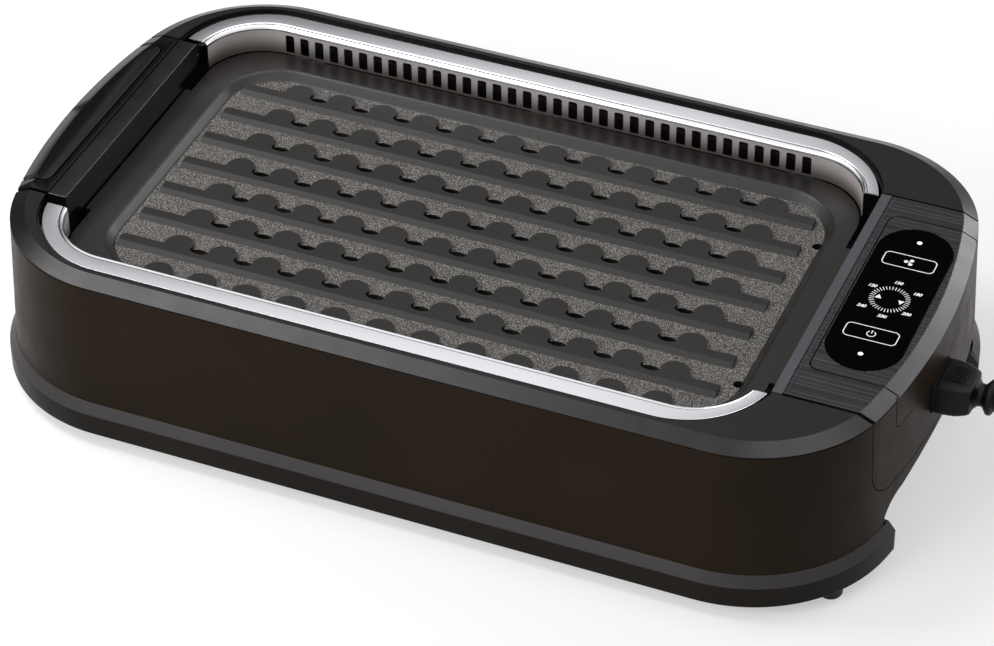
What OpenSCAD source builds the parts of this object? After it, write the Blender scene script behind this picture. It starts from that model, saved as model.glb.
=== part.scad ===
// Countertop electric grill with a smoke fan: body, lift-out plate, drip tray and controls.
// Millimetres. X is the long way, Y runs to the back, Z is up; the feet stand on Z = 0.

/* [Body shell] */
// Half length of the body top, to the bow of an end
body_half_len = 275; // [265:1:285]
// Half depth of the body top
body_half_depth = 153; // [150:1:160]
// Radius of the four plan corners
corner_r = 82; // [70:1:90]
// Radius of the bowed ends
end_r = 410; // [380:5:500]
// How far the wall leans out from top to bottom
wall_draft = 3.4; // [0:0.2:6]
// Thickness of the moulded walls
wall = 2.5; // [2:0.1:3]
// Height of the body wall
wall_h = 81; // [78:1:90]

/* [Base] */
// Height of the feet
foot_h = 8; // [5:1:12]
// Diameter of the feet
foot_d = 14; // [10:1:16]
// Distance of the feet from the ends of the body
foot_from_end = 24; // [24:1:45]
// Distance of the feet from the long sides of the body
foot_from_side = 35; // [35:1:53]
// Height of the upright side of the skirt
skirt_h = 14; // [10:1:18]
// Height of the sloped ledge above it
ledge_h = 6; // [4:1:8]
// How far the skirt stands out past the body
skirt_out = 4.4; // [3:0.2:8]
// Half width of the hand recess in each end
grip_half = 79; // [70:1:84]
// Depth of the recess from the end of the body
grip_depth = 32; // [20:1:36]
// Height of the recess above the base
grip_h = 42; // [38:1:43]
// Length of the bottom cover
cover_len = 300; // [240:5:340]
// Width of the bottom cover
cover_wid = 200; // [180:5:220]

/* [Rim] */
// Height of the bevelled rim above the body wall
rim_h = 5; // [4:0.5:7]
// Width of the bevel seen from above
bevel_w = 8.8; // [5:0.5:9]
// Depth of the rim's collar inside the body
collar_h = 8; // [6:0.5:9]
// Gap between the rim and the steel trim
groove = 3; // [2:0.5:4]
// Half width of the handle piece that crosses the rim at the right
handle_half = 97; // [92:1:98]
// Half width of the handle piece that crosses the rim at the left
handle_half_left = 85.5; // [80:0.5:92]
// Gap between the left handle and the steel trims
trim_gap_left = 6; // [1:0.5:6]
// Half width of the insert in each handle
insert_half = 74.7; // [72:0.1:80]

/* [Steel trim] */
// Distance of the trim from the left end of the body
trim_from_left = 32; // [29:1:35]
// Distance of the trim from the right end of the body
trim_from_right = 71; // [69:1:75]
// Distance of the trim from the long sides of the body
trim_from_side = 14.5; // [13:0.5:16]
// Corner radius of the trim
trim_r = 55; // [50:1:60]
// Step in from the trim's left edge to its inner wall
trim_step_left = 13.5; // [12:0.5:15]
// Step in from the trim's right edge to its inner wall
trim_step_right = 9.5; // [8:0.5:14]
// Corner radius of the trim's inner wall
trim_inner_r = 38; // [34:1:42]
// Width of the flat flange
flange_w = 10; // [8:0.5:11]
// Radius of the rolled inner edge
roll_r = 4.5; // [3:0.5:5]
// Thickness of the sheet
sheet_t = 0.8; // [0.6:0.1:1]
// Depth of the flange below the rim's top
trim_drop = 2; // [1:0.5:3]
// Pitch of the smoke slots
slot_pitch = 9.95; // [9:0.05:10]
// Width of a smoke slot
slot_w = 5.4; // [4:0.2:6]
// Height of a smoke slot
slot_h = 12.5; // [8:0.5:13]

/* [Grill plate] */
// Gap round the plate, inside the steel trim
plate_gap = 1; // [0.8:0.1:2]
// Half width of the lifting tab at each end
tab_half = 66; // [50:1:72]
// Width of the plate's flat border on the long sides
border = 14; // [12:1:18]
// Width of the plate's flat border at the left end
border_left = 16.5; // [14:0.5:20]
// Width of the plate's flat border at the right end
border_right = 10.5; // [8:0.5:14]
// Corner radius of the well
well_r = 38; // [30:1:44]
// Thickness of the border
border_t = 3; // [2:0.5:4]
// Depth of the cooking floor below the border
well_depth = 5.5; // [4:0.5:7]
// Thickness of the cooking floor
floor_t = 4.5; // [3.5:0.5:5]
// Height of the smooth lands above the floor
land_h = 2.5; // [1.5:0.5:3.5]
// Pitch of the land rows
row_pitch = 27.5; // [26:0.5:30]
// Depth of a land from its straight edge to its humps
land_depth = 17; // [15:0.5:19]
// Pitch of the humps along a land
hump_pitch = 28; // [26:0.5:34]
// Depth of the plate's border below the steel trim
plate_drop = 19; // [17:0.5:20]

/* [Drip tray and tub] */
// Depth of the tub below the plate's border
tub_depth = 49; // [45:1:51]
// Thickness of the tub sheet
tub_t = 1; // [0.8:0.1:1.2]
// Depth of the drip tray
tray_h = 25; // [18:1:25]
// Thickness of the tray sheet
tray_t = 1.2; // [1:0.1:1.6]

/* [Heater] */
// Diameter of the heating tube
element_d = 8; // [6:0.5:8]
// Distance of the outer heater runs from the middle
element_outer_y = 75; // [65:1:80]
// Distance of the inner heater runs from the middle
element_inner_y = 25; // [22:1:32]

/* [Fan] */
// Middle of the fan along X
fan_x = -20; // [-40:1:0]
// Middle of the fan along Y
fan_y = 10; // [0:1:14]
// Diameter of the impeller
impeller_d = 116; // [100:1:120]
// Diameter of the fan housing
scroll_d = 148; // [140:1:154]
// Number of impeller blades
blade_count = 24; // [12:1:30]
// Diameter of the fan motor
motor_d = 36; // [30:1:38]
// Radius of the fan shaft
shaft_r = 2; // [1.5:0.5:3]

/* [Controls] */
// Width of the touch glass
glass_w = 44; // [36:1:45]
// Length of the touch glass
glass_l = 134; // [110:1:136]
// Distance of the glass's middle from the right end of the body
glass_from_end = 36; // [35:1:37]
// How far the panel's insert and glass sit behind the middle
panel_y = 4.5; // [0:0.5:5]

/* [Power lead] */
// Distance of the inlet from the middle along Y
inlet_y = -12; // [-20:1:0]
// Distance of the inlet below the top of the wall
inlet_drop = 33; // [33:1:35]
// Diameter of the power lead
cord_d = 6.5; // [6:0.1:6.5]
// Radius at the middle of the coil's turns
coil_mid_r = 36; // [34:1:38]
// Turns in the stored coil
coil_turns = 3.25; // [3.25:1:3.25]

/* [Hidden] */

// Clearances
seam = 0.5;      // shadow line between flush mouldings
rest = 0.3;      // gap under a piece that is set down
slip = 0.4;      // gap round a piece that drops into a pocket
run_fit = 0.05;  // radial clearance of the fan shaft
over = 1;        // how far a cutting solid runs past the face it cuts

// Levels
z_base = foot_h;
z_skirt = z_base + skirt_h;
z_body = z_skirt + ledge_h;
z_wall = z_body + wall_h;
z_top = z_wall + rim_h;
z_collar = z_wall - collar_h;
z_ledge = z_collar + 3.5;
z_trim = z_top - trim_drop;
z_border = z_trim - plate_drop;
z_floor = z_border - well_depth;
z_under = z_floor - floor_t;
z_grip = z_base + grip_h;
tub_floor_z = z_border - tub_depth;
inlet_z = z_wall - inlet_drop;
z_inside = z_base + wall;
cap_foot = z_grip + 3;
apron_foot = z_wall - 20;

// Places along the body, measured in from its ends and sides
past = body_half_len + 25;  // beyond either end
near_end = body_half_len - 75;
grip_x = body_half_len - grip_depth;
foot_x = body_half_len - foot_from_end;
foot_y = body_half_depth - foot_from_side;
post_x = body_half_len - 70;
post_y = body_half_depth - 16;
glass_x = body_half_len - glass_from_end;
trim_x0 = trim_from_left - body_half_len;
trim_x1 = body_half_len - trim_from_right;
trim_half = body_half_depth - trim_from_side;
trim_inner_x0 = trim_x0 + trim_step_left;
trim_inner_x1 = trim_x1 - trim_step_right;
strip_left_x = [trim_x0 - 2.2, trim_x0 + 9.5];
strip_right_x = [trim_x1 + 0.5, trim_x1 + 6.4];

// Plan outline: end bows, corners and straight long sides about fixed centres
corner_steps = 12;
bow_steps = 5;
bow_cx = body_half_len - end_r;
corner_cy = body_half_depth - corner_r;
corner_cx = bow_cx + sqrt(pow(end_r - corner_r, 2) - pow(corner_cy, 2));
bow_angle = atan2(corner_cy, corner_cx - bow_cx);
function bow(inset, a) = [bow_cx + (end_r - inset) * cos(a), (end_r - inset) * sin(a)];
function corner(inset, a) = [corner_cx, corner_cy] + (corner_r - inset) * [cos(a), sin(a)];
function quarter(inset) = concat(
    [for (i = [1 : bow_steps]) bow(inset, bow_angle * i / bow_steps)],
    [for (i = [1 : corner_steps]) corner(inset, bow_angle + (90 - bow_angle) * i / corner_steps)]);
function backwards(list) = [for (i = [len(list) - 1 : -1 : 0]) list[i]];
function flip(list, sx, sy) = [for (p = list) [p[0] * sx, p[1] * sy]];
function plan(inset) = let (q = quarter(inset)) concat(
    [bow(inset, 0)], q, backwards(flip(q, -1, 1)), [-bow(inset, 0)],
    flip(q, -1, -1), backwards(flip(q, 1, -1)));
function lift(list, z) = [for (p = list) [p[0], p[1], z]];
function lean(z) = -wall_draft * (z_wall - z) / wall_h;

// Rounded rectangle from x0, x1 and a half depth, drawn in by inset
function arc(cx, cy, r, a0, a1, n) = [for (i = [0 : n]) let (a = a0 + (a1 - a0) * i / n)
    [cx + r * cos(a), cy + r * sin(a)]];
function round_rect(x0, x1, half, r, inset, n = 8) = let (q = r - inset) concat(
    arc(x1 - r, half - r, q, 0, 90, n), arc(x0 + r, half - r, q, 90, 180, n),
    arc(x0 + r, r - half, q, 180, 270, n), arc(x1 - r, r - half, q, 270, 360, n));

// A solid skinned over equal rings of points, from the first ring to the last
module skin(rings) {
    n = len(rings[0]);
    m = len(rings);
    polyhedron(points = [for (r = rings) for (p = r) p], faces = concat(
        [[for (j = [0 : n - 1]) j]],
        [for (i = [0 : m - 2]) for (j = [0 : n - 1]) [i * n + j, (i + 1) * n + j, (i + 1) * n + (j + 1) % n]],
        [for (i = [0 : m - 2]) for (j = [0 : n - 1])
            [i * n + j, (i + 1) * n + (j + 1) % n, i * n + (j + 1) % n]],
        [[for (j = [n - 1 : -1 : 0]) (m - 1) * n + j]]));
}

// A solid skinned over plan outlines: levels is a list of [inset, z]
module loft(levels) {
    skin([for (l = levels) lift(plan(l[0]), l[1])]);
}

module prism(points, z0, z1) {
    translate([0, 0, z0]) linear_extrude(z1 - z0) polygon(points);
}

module block(x0, x1, y0, y1, z0, z1) {
    translate([x0, y0, z0]) cube([x1 - x0, y1 - y0, z1 - z0]);
}

module peg(x, y, z0, z1, r) {
    translate([x, y, z0]) cylinder(h = z1 - z0, r = r, $fn = 32);
}

// Both ends of the body: the children are drawn at +X and mirrored to -X
module both_ends() {
    children();
    mirror([1, 0, 0]) children();
}

// A flat outline in the YZ plane, cut through the +X end
module end_cutter(points) {
    translate([near_end, 0, 0]) rotate([90, 0, 90]) linear_extrude(past - near_end) polygon(points);
}

// Tube of round section along a path; ref is a direction the path never takes
function unit(v) = v / norm(v);
function heading(path, i) = unit(path[min(i + 1, len(path) - 1)] - path[max(i - 1, 0)]);
function tube_ring(p, t, r, n, ref) = let (u = unit(cross(t, ref)), v = cross(t, u))
    [for (k = [0 : n - 1]) p + r * (cos(360 * k / n) * u + sin(360 * k / n) * v)];
module tube(path, r, n, ref) {
    skin([for (i = [0 : len(path) - 1]) tube_ring(path[i], heading(path, i), r, n, ref)]);
}

// Body wall between two levels, leaning with the draft
module wall_solid(inset, z0, z1) {
    loft([[lean(z0) + inset, z0], [lean(z1) + inset, z1]]);
}

module wall_shell(z0, z1) {
    difference() {
        wall_solid(0, z0, z1);
        wall_solid(wall, z0 - over, z1 + over);
    }
}

// Outline of the end cap in the YZ plane, shrunk or grown by gap
cap_half = handle_half + 1;
cap_corner = 20;
function cap_outline(gap) = let (r = cap_corner - gap, h = cap_half - cap_corner, z = cap_foot + cap_corner)
    concat([[cap_half - gap, z_wall + 5]], [[-cap_half + gap, z_wall + 5]],
        arc(-h, z, r, 180, 270, 8), arc(h, z, r, 270, 360, 8));

// Outline of the apron that hangs from a handle insert over the end cap
apron_half = insert_half - 1.5;
apron_corner = 4;
function apron_outline(gap) = let (r = apron_corner - gap, h = apron_half - apron_corner,
    z = apron_foot + apron_corner)
    concat([[apron_half - gap, z_wall + 0.6]], [[-apron_half + gap, z_wall + 0.6]],
        arc(-h, z, r, 180, 270, 4), arc(h, z, r, 270, 360, 4));

// Arch of the hand recess in the body wall: shallow crown, drawn-down sides
arch_foot_half = grip_half + 6.5;
arch_side_w = 21.5;
arch_side_h = z_grip - z_body - 7;
arch_crown_half = arch_foot_half - arch_side_w;
arch_rise = 7;
crown_r = (pow(arch_crown_half, 2) + pow(arch_rise, 2)) / (2 * arch_rise);
crown_a = asin(arch_crown_half / crown_r);
function arch_side(sx) = [for (i = [0 : 6]) [sx * (arch_crown_half + arch_side_w * cos(15 * i)),
    z_body + arch_side_h * sin(15 * i)]];
function arch_outline() = concat([[arch_foot_half, z_base - over]], arch_side(1),
    arc(0, z_grip - crown_r, crown_r, 90 - crown_a * 0.9, 90 + crown_a * 0.9, 10),
    backwards(arch_side(-1)), [[-arch_foot_half, z_base - over]]);

module base_skirt() {
    color([0.16, 0.14, 0.14]) {
        difference() {
            loft([[-wall_draft - skirt_out, z_base], [-wall_draft - skirt_out, z_skirt],
                [-wall_draft, z_body]]);
            loft([[-wall_draft - skirt_out + wall, z_inside], [-wall_draft - skirt_out + wall, z_skirt],
                [-wall_draft + wall, z_body + over]]);
            both_ends() block(grip_x - wall, past, -grip_half - wall, grip_half + wall,
                z_base - over, z_body + over);
            prism(round_rect(-cover_len / 2, cover_len / 2, cover_wid / 2, cover_corner, 0),
                z_base - over, z_inside + over);
            base_holes();
        }
        both_ends() grip_pocket();
        cover_ledge();
    }
}

// Walls and roof of one hand recess, closed against the skirt and the body wall
module grip_pocket() {
    intersection() {
        difference() {
            block(grip_x - wall, past, -grip_half - wall, grip_half + wall, z_base, z_grip + wall);
            block(grip_x, past + over, -grip_half, grip_half, z_base - over, z_grip);
        }
        union() {
            loft([[-wall_draft - skirt_out, z_base], [-wall_draft - skirt_out, z_skirt],
                [-wall_draft, z_body]]);
            wall_solid(wall + slip, z_body - over, z_grip + wall + over);
        }
    }
}

// Holes in the base floor for the feet and the post screws
module base_holes() {
    for (sx = [-1, 1]) for (sy = [-1, 1]) {
        peg(sx * foot_x, sy * foot_y, z_base - over, z_inside + over, foot_stem_r + run_fit);
        peg(sx * post_x, sy * post_y, z_base - over, z_inside + over, screw_r + run_fit);
    }
}

// Rabbet that the bottom cover drops into
rabbet = 6;
ledge_top = 2;
module cover_ledge() {
    difference() {
        prism(round_rect(-cover_len / 2, cover_len / 2, cover_wid / 2, cover_corner, -rabbet),
            z_inside - 0.5, z_inside + ledge_top);
        prism(round_rect(-cover_len / 2, cover_len / 2, cover_wid / 2, cover_corner, rabbet),
            z_inside - over, z_inside + ledge_top + over);
        for (p = cover_screw_points)
            peg(p[0], p[1], z_base - over, z_inside + ledge_top + over, screw_r + run_fit);
    }
}

screw_r = 1.5;
screw_head_r = 3;
screw_head_h = 1.6;
cover_edge = rabbet / 2 + 0.2;
cover_corner = 20;
cover_screw_points = [for (sx = [-1, 0, 1]) for (sy = [-1, 1])
    [sx * (cover_len / 2 - cover_corner - screw_head_r), sy * (cover_wid / 2 - cover_edge)]];
cover_z0 = z_base + 0.2;
cover_z1 = z_inside - 0.8;

vent_count = 28;
vent_r0 = scroll_d / 2 - 13;
vent_r1 = scroll_d / 2 - 3;
module bottom_cover() {
    color([0.13, 0.12, 0.12]) difference() {
        prism(round_rect(-cover_len / 2, cover_len / 2, cover_wid / 2, cover_corner, slip),
            cover_z0, cover_z1);
        for (k = [0 : vent_count - 1]) translate([fan_x, fan_y, 0]) rotate(360 * k / vent_count)
            block(vent_r0, vent_r1, -2.5, 2.5, cover_z0 - over, cover_z1 + over);
        for (p = cover_screw_points) {
            peg(p[0], p[1], cover_z0 - over, cover_z1 + over, screw_r + run_fit);
            peg(p[0], p[1], cover_z0 - over, cover_z0 + 0.4, screw_head_r + run_fit);
        }
    }
}

module screw(x, y, z, length) {
    peg(x, y, z - screw_head_h, z, screw_head_r);
    peg(x, y, z - 0.2, z + length, screw_r);
}

module cover_screws() {
    color([0.6, 0.6, 0.62]) for (p = cover_screw_points)
        screw(p[0], p[1], cover_z0 + 0.3, z_inside + 1.5 - cover_z0);
}

foot_stem_r = 3;
module feet() {
    color([0.07, 0.07, 0.07]) for (sx = [-1, 1]) for (sy = [-1, 1]) {
        peg(sx * foot_x, sy * foot_y, 0, foot_h - 0.05, foot_d / 2);
        peg(sx * foot_x, sy * foot_y, 1, z_inside + 1, foot_stem_r);
    }
}

module rim_posts() {
    color([0.2, 0.2, 0.2]) for (sx = [-1, 1]) for (sy = [-1, 1]) difference() {
        peg(sx * post_x, sy * post_y, z_inside + 0.05, z_collar - 0.05, 5);
        peg(sx * post_x, sy * post_y, z_inside - over, z_inside + 22, screw_r + run_fit);
    }
}

module post_screws() {
    color([0.6, 0.6, 0.62]) for (sx = [-1, 1]) for (sy = [-1, 1])
        screw(sx * post_x, sy * post_y, z_base - 0.05, 20);
}

module body_wrap() {
    color([0.17, 0.13, 0.1]) difference() {
        wall_shell(z_body + 0.05, z_wall - 0.05);
        both_ends() {
            end_cutter(cap_outline(0));
            end_cutter(arch_outline());
        }
    }
}

// End cap: flush with the body wall, notched for the handle's apron
module end_cap() {
    difference() {
        intersection() {
            wall_shell(cap_foot - over, z_wall - 0.05);
            end_cutter(cap_outline(seam));
        }
        end_cutter(apron_outline(-seam));
    }
    // Ribs inside that carry the cap on the rim's collar
    for (sy = [-1, 1]) intersection() {
        block(near_end, past, sy > 0 ? apron_half + 6 : -apron_half - 18,
            sy > 0 ? apron_half + 18 : -apron_half - 6, z_collar - 6, z_collar - rest);
        difference() {
            wall_solid(wall - 0.2, z_collar - 10, z_collar);
            wall_solid(wall + 8, z_collar - 11, z_collar + over);
        }
    }
}

module cap_left() {
    color([0.17, 0.13, 0.1]) mirror([1, 0, 0]) end_cap();
}

inlet_w = 31;
inlet_h = 20;
module cap_right() {
    color([0.17, 0.13, 0.1]) difference() {
        end_cap();
        block(grip_x, past, inlet_y - inlet_w / 2 - slip, inlet_y + inlet_w / 2 + slip,
            inlet_z - inlet_h / 2 - slip, inlet_z + inlet_h / 2 + slip);
    }
}

// The bevelled top frame before anything is cut from it
edge_h = 1;
module rim_solid(z0) {
    loft([[0, z_wall], [0, z_wall + edge_h], [bevel_w - 1, z_top - 0.3], [bevel_w, z_top]]);
    loft([[wall + slip, z0], [wall + slip, z_wall + edge_h]]);
}

strip_wall = 2;
opening_x0 = trim_x0 - groove;
opening_x1 = trim_x1 + groove;
ledge_in = 8;
function opening_outline(gap) =
    round_rect(opening_x0, opening_x1, trim_half - ledge_in, trim_r - ledge_in, gap);
module rim_opening() {
    prism(round_rect(opening_x0, opening_x1, trim_half + groove, trim_r + groove, 0),
        trim_seat_z, z_top + over);
    prism(opening_outline(0), z_collar - over, z_top + over);
}
trim_seat_z = z_trim - sheet_t - 0.05;

// Gap in the rim's upper part that a handle and its strip fill
module handle_gap(half, x0, x1) {
    block(x0, x1, -half - rest, half + rest, z_ledge, z_top + over);
}

module top_rim() {
    color([0.15, 0.14, 0.15]) difference() {
        rim_solid(z_collar);
        difference() {
            rim_opening();
            block(opening_x0 - 5, strip_left_x[1] - strip_wall - 0.7, -handle_half, handle_half,
                z_collar - 2 * over, z_ledge);
            block(strip_right_x[0] + strip_wall + 0.7, opening_x1 + 5, -handle_half, handle_half,
                z_collar - 2 * over, z_ledge);
        }
        handle_gap(handle_half_left, -past, strip_left_x[1] + over);
        handle_gap(handle_half, strip_right_x[0] - over, past);
        peg(glass_x, 0, z_collar - over, z_ledge + over, cable_r);
    }
}

// Steel trim: U-shaped sheet, flat flange with a rolled edge and a wall down to the plate
trim_cut = handle_half + 0.4;
trim_cut_left = handle_half_left + trim_gap_left;
function cut_angle(cut, cy, r) = asin((cut - cy) / r);
function mix(a, b, f) = a + (b - a) * f;
function trim_path(inset, side) = let (f = inset / trim_wall_in, r = mix(trim_r, trim_inner_r, f),
    cy = trim_half - inset - r) flip(concat(
        arc(mix(trim_x1, trim_inner_x1, f) - r, cy, r, cut_angle(trim_cut, cy, r), 90, 12),
        arc(mix(trim_x0, trim_inner_x0, f) + r, cy, r, 90, 180 - cut_angle(trim_cut_left, cy, r), 12)),
    1, side);
function roll(r) = [for (i = [0 : 4]) [flange_w + r * sin(22.5 * i), z_trim - roll_r + r * cos(22.5 * i)]];
trim_wall_in = flange_w + roll_r;
trim_foot = z_border + 0.5;
function trim_profile(foot) = concat([[0, z_trim]], roll(roll_r), [[trim_wall_in, foot]],
    [[trim_wall_in - sheet_t, foot]], backwards(roll(roll_r - sheet_t)), [[0, z_trim - sheet_t]]);
module trim_sheet(side, foot) {
    profile = trim_profile(foot);
    lines = [for (q = profile) trim_path(q[0], side)];
    rings = [for (i = [0 : len(lines[0]) - 1])
        [for (k = [0 : len(profile) - 1]) [lines[k][i][0], lines[k][i][1], profile[k][1]]]];
    skin(side > 0 ? backwards(rings) : rings);
}

module trim_front() {
    color([0.78, 0.79, 0.82]) trim_sheet(-1, trim_foot);
}

slot_mid_x = (trim_x0 + trim_x1) / 2;
slot_top_z = z_trim - roll_r - 0.4;
wall_top = z_trim - roll_r;
flat_x0 = trim_inner_x0 + trim_inner_r + 0.05;
flat_x1 = trim_inner_x1 - trim_inner_r - 0.05;
slot_count = 2 * floor((flat_x1 - flat_x0 - slot_w) / slot_pitch / 2) + 1;
function slot_outline(x) = [[x - slot_w / 2, slot_top_z - slot_h], [x + slot_w / 2, slot_top_z - slot_h],
    [x + slot_w / 2, slot_top_z - 1.5], [x + slot_w / 2 - 1.5, slot_top_z],
    [x - slot_w / 2 + 1.5, slot_top_z], [x - slot_w / 2, slot_top_z - 1.5]];
slotted_t = sheet_t + 0.2;
module slotted_wall() {
    translate([0, trim_half - trim_wall_in + sheet_t + 0.1, 0]) rotate([90, 0, 0]) linear_extrude(slotted_t)
        difference() {
            translate([flat_x0 - 0.5, trim_foot + 0.1]) square([flat_x1 - flat_x0 + 1, wall_top - trim_foot]);
            for (k = [0 : slot_count - 1])
                polygon(slot_outline(slot_mid_x + (k - (slot_count - 1) / 2) * slot_pitch));
        }
}

module trim_back() {
    color([0.78, 0.79, 0.82]) {
        difference() {
            trim_sheet(1, trim_foot);
            block(flat_x0, flat_x1, trim_half - flange_w - roll_r - over, trim_half - flange_w,
                trim_foot - over, wall_top - 0.2);
        }
        slotted_wall();
    }
}

// Smooth strips between the handles and the well, with a wall down to the plate
module strip(x_in, x_out, half) {
    x_back = x_in + sign(x_out - x_in) * strip_wall;
    block(min(x_in, x_out), max(x_in, x_out), -half, half, z_ledge + 0.05, z_top);
    intersection() {
        block(min(x_in, x_back), max(x_in, x_back), -handle_half, handle_half,
            z_border + rest, z_ledge + over);
        prism(opening_outline(slip), z_border, z_top);
    }
}

module strip_left() {
    color([0.2, 0.19, 0.2]) strip(strip_left_x[1], strip_left_x[0], handle_half_left);
}

module strip_right() {
    color([0.26, 0.25, 0.27]) strip(strip_right_x[0], strip_right_x[1], handle_half);
}

// Outer part of a handle, with a pocket for its insert
insert_gap = 4.6;
module handle(x_in, half, shift = 0) {
    difference() {
        intersection() {
            rim_solid(z_ledge + 0.05);
            block(x_in, past, -half, half, z_ledge, z_top + over);
        }
        block(x_in + insert_gap, past, shift - insert_half - seam, shift + insert_half + seam,
            z_ledge + 2, z_top + over);
        block(x_in + insert_gap, past, -apron_half - seam, 0, z_ledge + 2, z_wall + 0.6 + seam);
        peg(glass_x, 0, z_ledge - over, z_top, cable_r);
    }
}

// Insert of a handle: bevelled top piece with an apron that hangs over the end cap
module insert(x_in, shift = 0) {
    intersection() {
        rim_solid(z_ledge + 2.1);
        block(x_in + insert_gap + seam, past, shift - insert_half, shift + insert_half,
            z_ledge + 2.1, z_top + over);
    }
    intersection() {
        union() {
            wall_shell(apron_foot - over, z_wall - 0.05);
            difference() {
                loft([[0, z_wall - 0.1], [0, z_wall + 0.6]]);
                loft([[wall, z_wall - 0.2], [wall, z_wall + over]]);
            }
        }
        end_cutter(apron_outline(0));
    }
}

module handle_left() {
    color([0.12, 0.12, 0.13]) mirror([1, 0, 0]) handle(seam - strip_left_x[0], handle_half_left);
}

module grip_left() {
    color([0.12, 0.12, 0.13]) mirror([1, 0, 0]) insert(seam - strip_left_x[0]);
}

module handle_right() {
    color([0.22, 0.21, 0.24]) handle(strip_right_x[1] + seam, handle_half, panel_y);
}

cable_r = 4;
glass_t = 2;
glass_z = z_top + 0.2 - glass_t;
board_t = 1.6;
board_z = glass_z - rest - board_t;
module stadium(width, length, z0, z1) {
    r = width / 2;
    h = length / 2 - r;
    prism(concat(arc(glass_x, panel_y + h, r, 0, 180, 24), arc(glass_x, panel_y - h, r, 180, 360, 24)), z0, z1);
}

module panel_insert() {
    color([0.22, 0.21, 0.24]) difference() {
        insert(strip_right_x[1] + seam, panel_y);
        stadium(glass_w + 2 * slip, glass_l + 2 * slip, glass_z - rest - board_t - rest, z_top + over);
        peg(glass_x, 0, z_ledge, z_top, cable_r);
    }
}

module touch_glass() {
    color([0.03, 0.03, 0.035]) stadium(glass_w, glass_l, glass_z, glass_z + glass_t);
}

light_y = 54.3;
module touch_board() {
    color([0.05, 0.3, 0.15]) difference() {
        stadium(glass_w - 2, glass_l - 4, board_z, board_z + board_t);
        for (s = [-1, 1]) peg(glass_x, panel_y + s * light_y, board_z - over, board_z + board_t + over, 2);
    }
}

module status_lights() {
    color([0.95, 0.95, 0.9]) for (s = [-1, 1])
        peg(glass_x, panel_y + s * light_y, board_z - 0.1, glass_z - 0.05, 1.9);
}

// Places that the plate, the tub and the tray share
plate_x0 = trim_inner_x0 + plate_gap;
plate_x1 = trim_inner_x1 - plate_gap;
plate_half = trim_half - trim_wall_in - plate_gap;
plate_r = trim_inner_r - plate_gap;
tab_x0 = strip_left_x[1] + plate_gap;
tab_x1 = strip_right_x[0] - plate_gap;
plug_x = tab_x1 - 10;
socket_x0 = plug_x - 11;

// Sheet-metal tub that holds the plate and the tray, hung under the rim
tub_x0 = strip_left_x[1] - strip_wall - 1;
tub_x1 = strip_right_x[0] + strip_wall + 1;
tub_half = trim_half - trim_wall_in + sheet_t + 0.7;
tub_r = tub_half - handle_half - 0.5;
tub_flange = 14;
seat_h = 1;
seat_y = plate_half - 2.2;
seat_z = z_border - border_t - rest;
module tub_outline(grow, z0, z1) {
    prism(round_rect(tub_x0 - grow, tub_x1 + grow, tub_half + grow, tub_r + grow, 0), z0, z1);
}

module inner_tub() {
    top = z_collar - 0.05;
    color([0.55, 0.55, 0.56]) {
        difference() {
            union() {
                tub_outline(tub_t, tub_floor_z - tub_t, top);
                difference() {
                    tub_outline(tub_flange, top - tub_t, top);
                    for (sx = [-1, 1]) for (sy = [-1, 1])
                        block(sx > 0 ? post_x - 8 : -past, sx > 0 ? past : 8 - post_x,
                            sy > 0 ? post_y - 8 : -past, sy > 0 ? past : 8 - post_y,
                            top - tub_t - over, top + over);
                    block(duct_x0 - seam, duct_x1 + seam, tub_half + tub_t - 0.1, past,
                        top - tub_t - over, top + over);
                }
            }
            tub_outline(0, tub_floor_z, top + over);
            block(duct_x0 + wall, duct_x1 - wall, tub_half - 5, tub_half + 5,
                slot_top_z - slot_h - 2, top + over);
        }
        for (x = [tub_x0 + 60, slot_mid_x, tub_x1 - 60]) for (s = [-1, 1])
            block(x - 10, x + 10, s > 0 ? seat_y : -tub_half - tub_t / 2,
                s > 0 ? tub_half + tub_t / 2 : -seat_y, seat_z - seat_h, seat_z);
    }
}

// Duct behind the smoke slots, down to the fan under the tub
duct_x0 = slot_mid_x - slot_count * slot_pitch / 2 - 3;
duct_x1 = slot_mid_x + slot_count * slot_pitch / 2 + 3;
duct_y0 = tub_half + tub_t + rest;
duct_y1 = body_half_depth - wall - 2.5;
duct_z0 = tub_floor_z - 8;
module smoke_duct() {
    color([0.3, 0.3, 0.31]) difference() {
        block(duct_x0, duct_x1, duct_y0, duct_y1, duct_z0, z_collar - rest);
        block(duct_x0 + wall, duct_x1 - wall, duct_y0 - over, duct_y1 - wall,
            duct_z0 - over, z_collar - rest - wall);
        block(duct_x0 + wall, duct_x1 - wall, duct_y0 - over, trim_half - ledge_in,
            z_collar - 10, z_collar + over);
    }
}

tray_x0 = tub_x0 + 11;
tray_x1 = socket_x0 - 5;
tray_half = seat_y - 4.1;
tray_z = tub_floor_z + rest;
tray_r = 34;
tray_lip = 3;
module drip_tray() {
    color([0.2, 0.2, 0.2]) {
        difference() {
            prism(round_rect(tray_x0, tray_x1, tray_half, tray_r, 0), tray_z, tray_z + tray_h);
            prism(round_rect(tray_x0, tray_x1, tray_half, tray_r, tray_t),
                tray_z + tray_t, tray_z + tray_h + over);
        }
        difference() {
            prism(round_rect(tray_x0, tray_x1, tray_half, tray_r, -tray_lip),
                tray_z + tray_h - tray_t, tray_z + tray_h);
            prism(round_rect(tray_x0, tray_x1, tray_half, tray_r, tray_t), tray_z, tray_z + tray_h + over);
        }
    }
}

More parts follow.
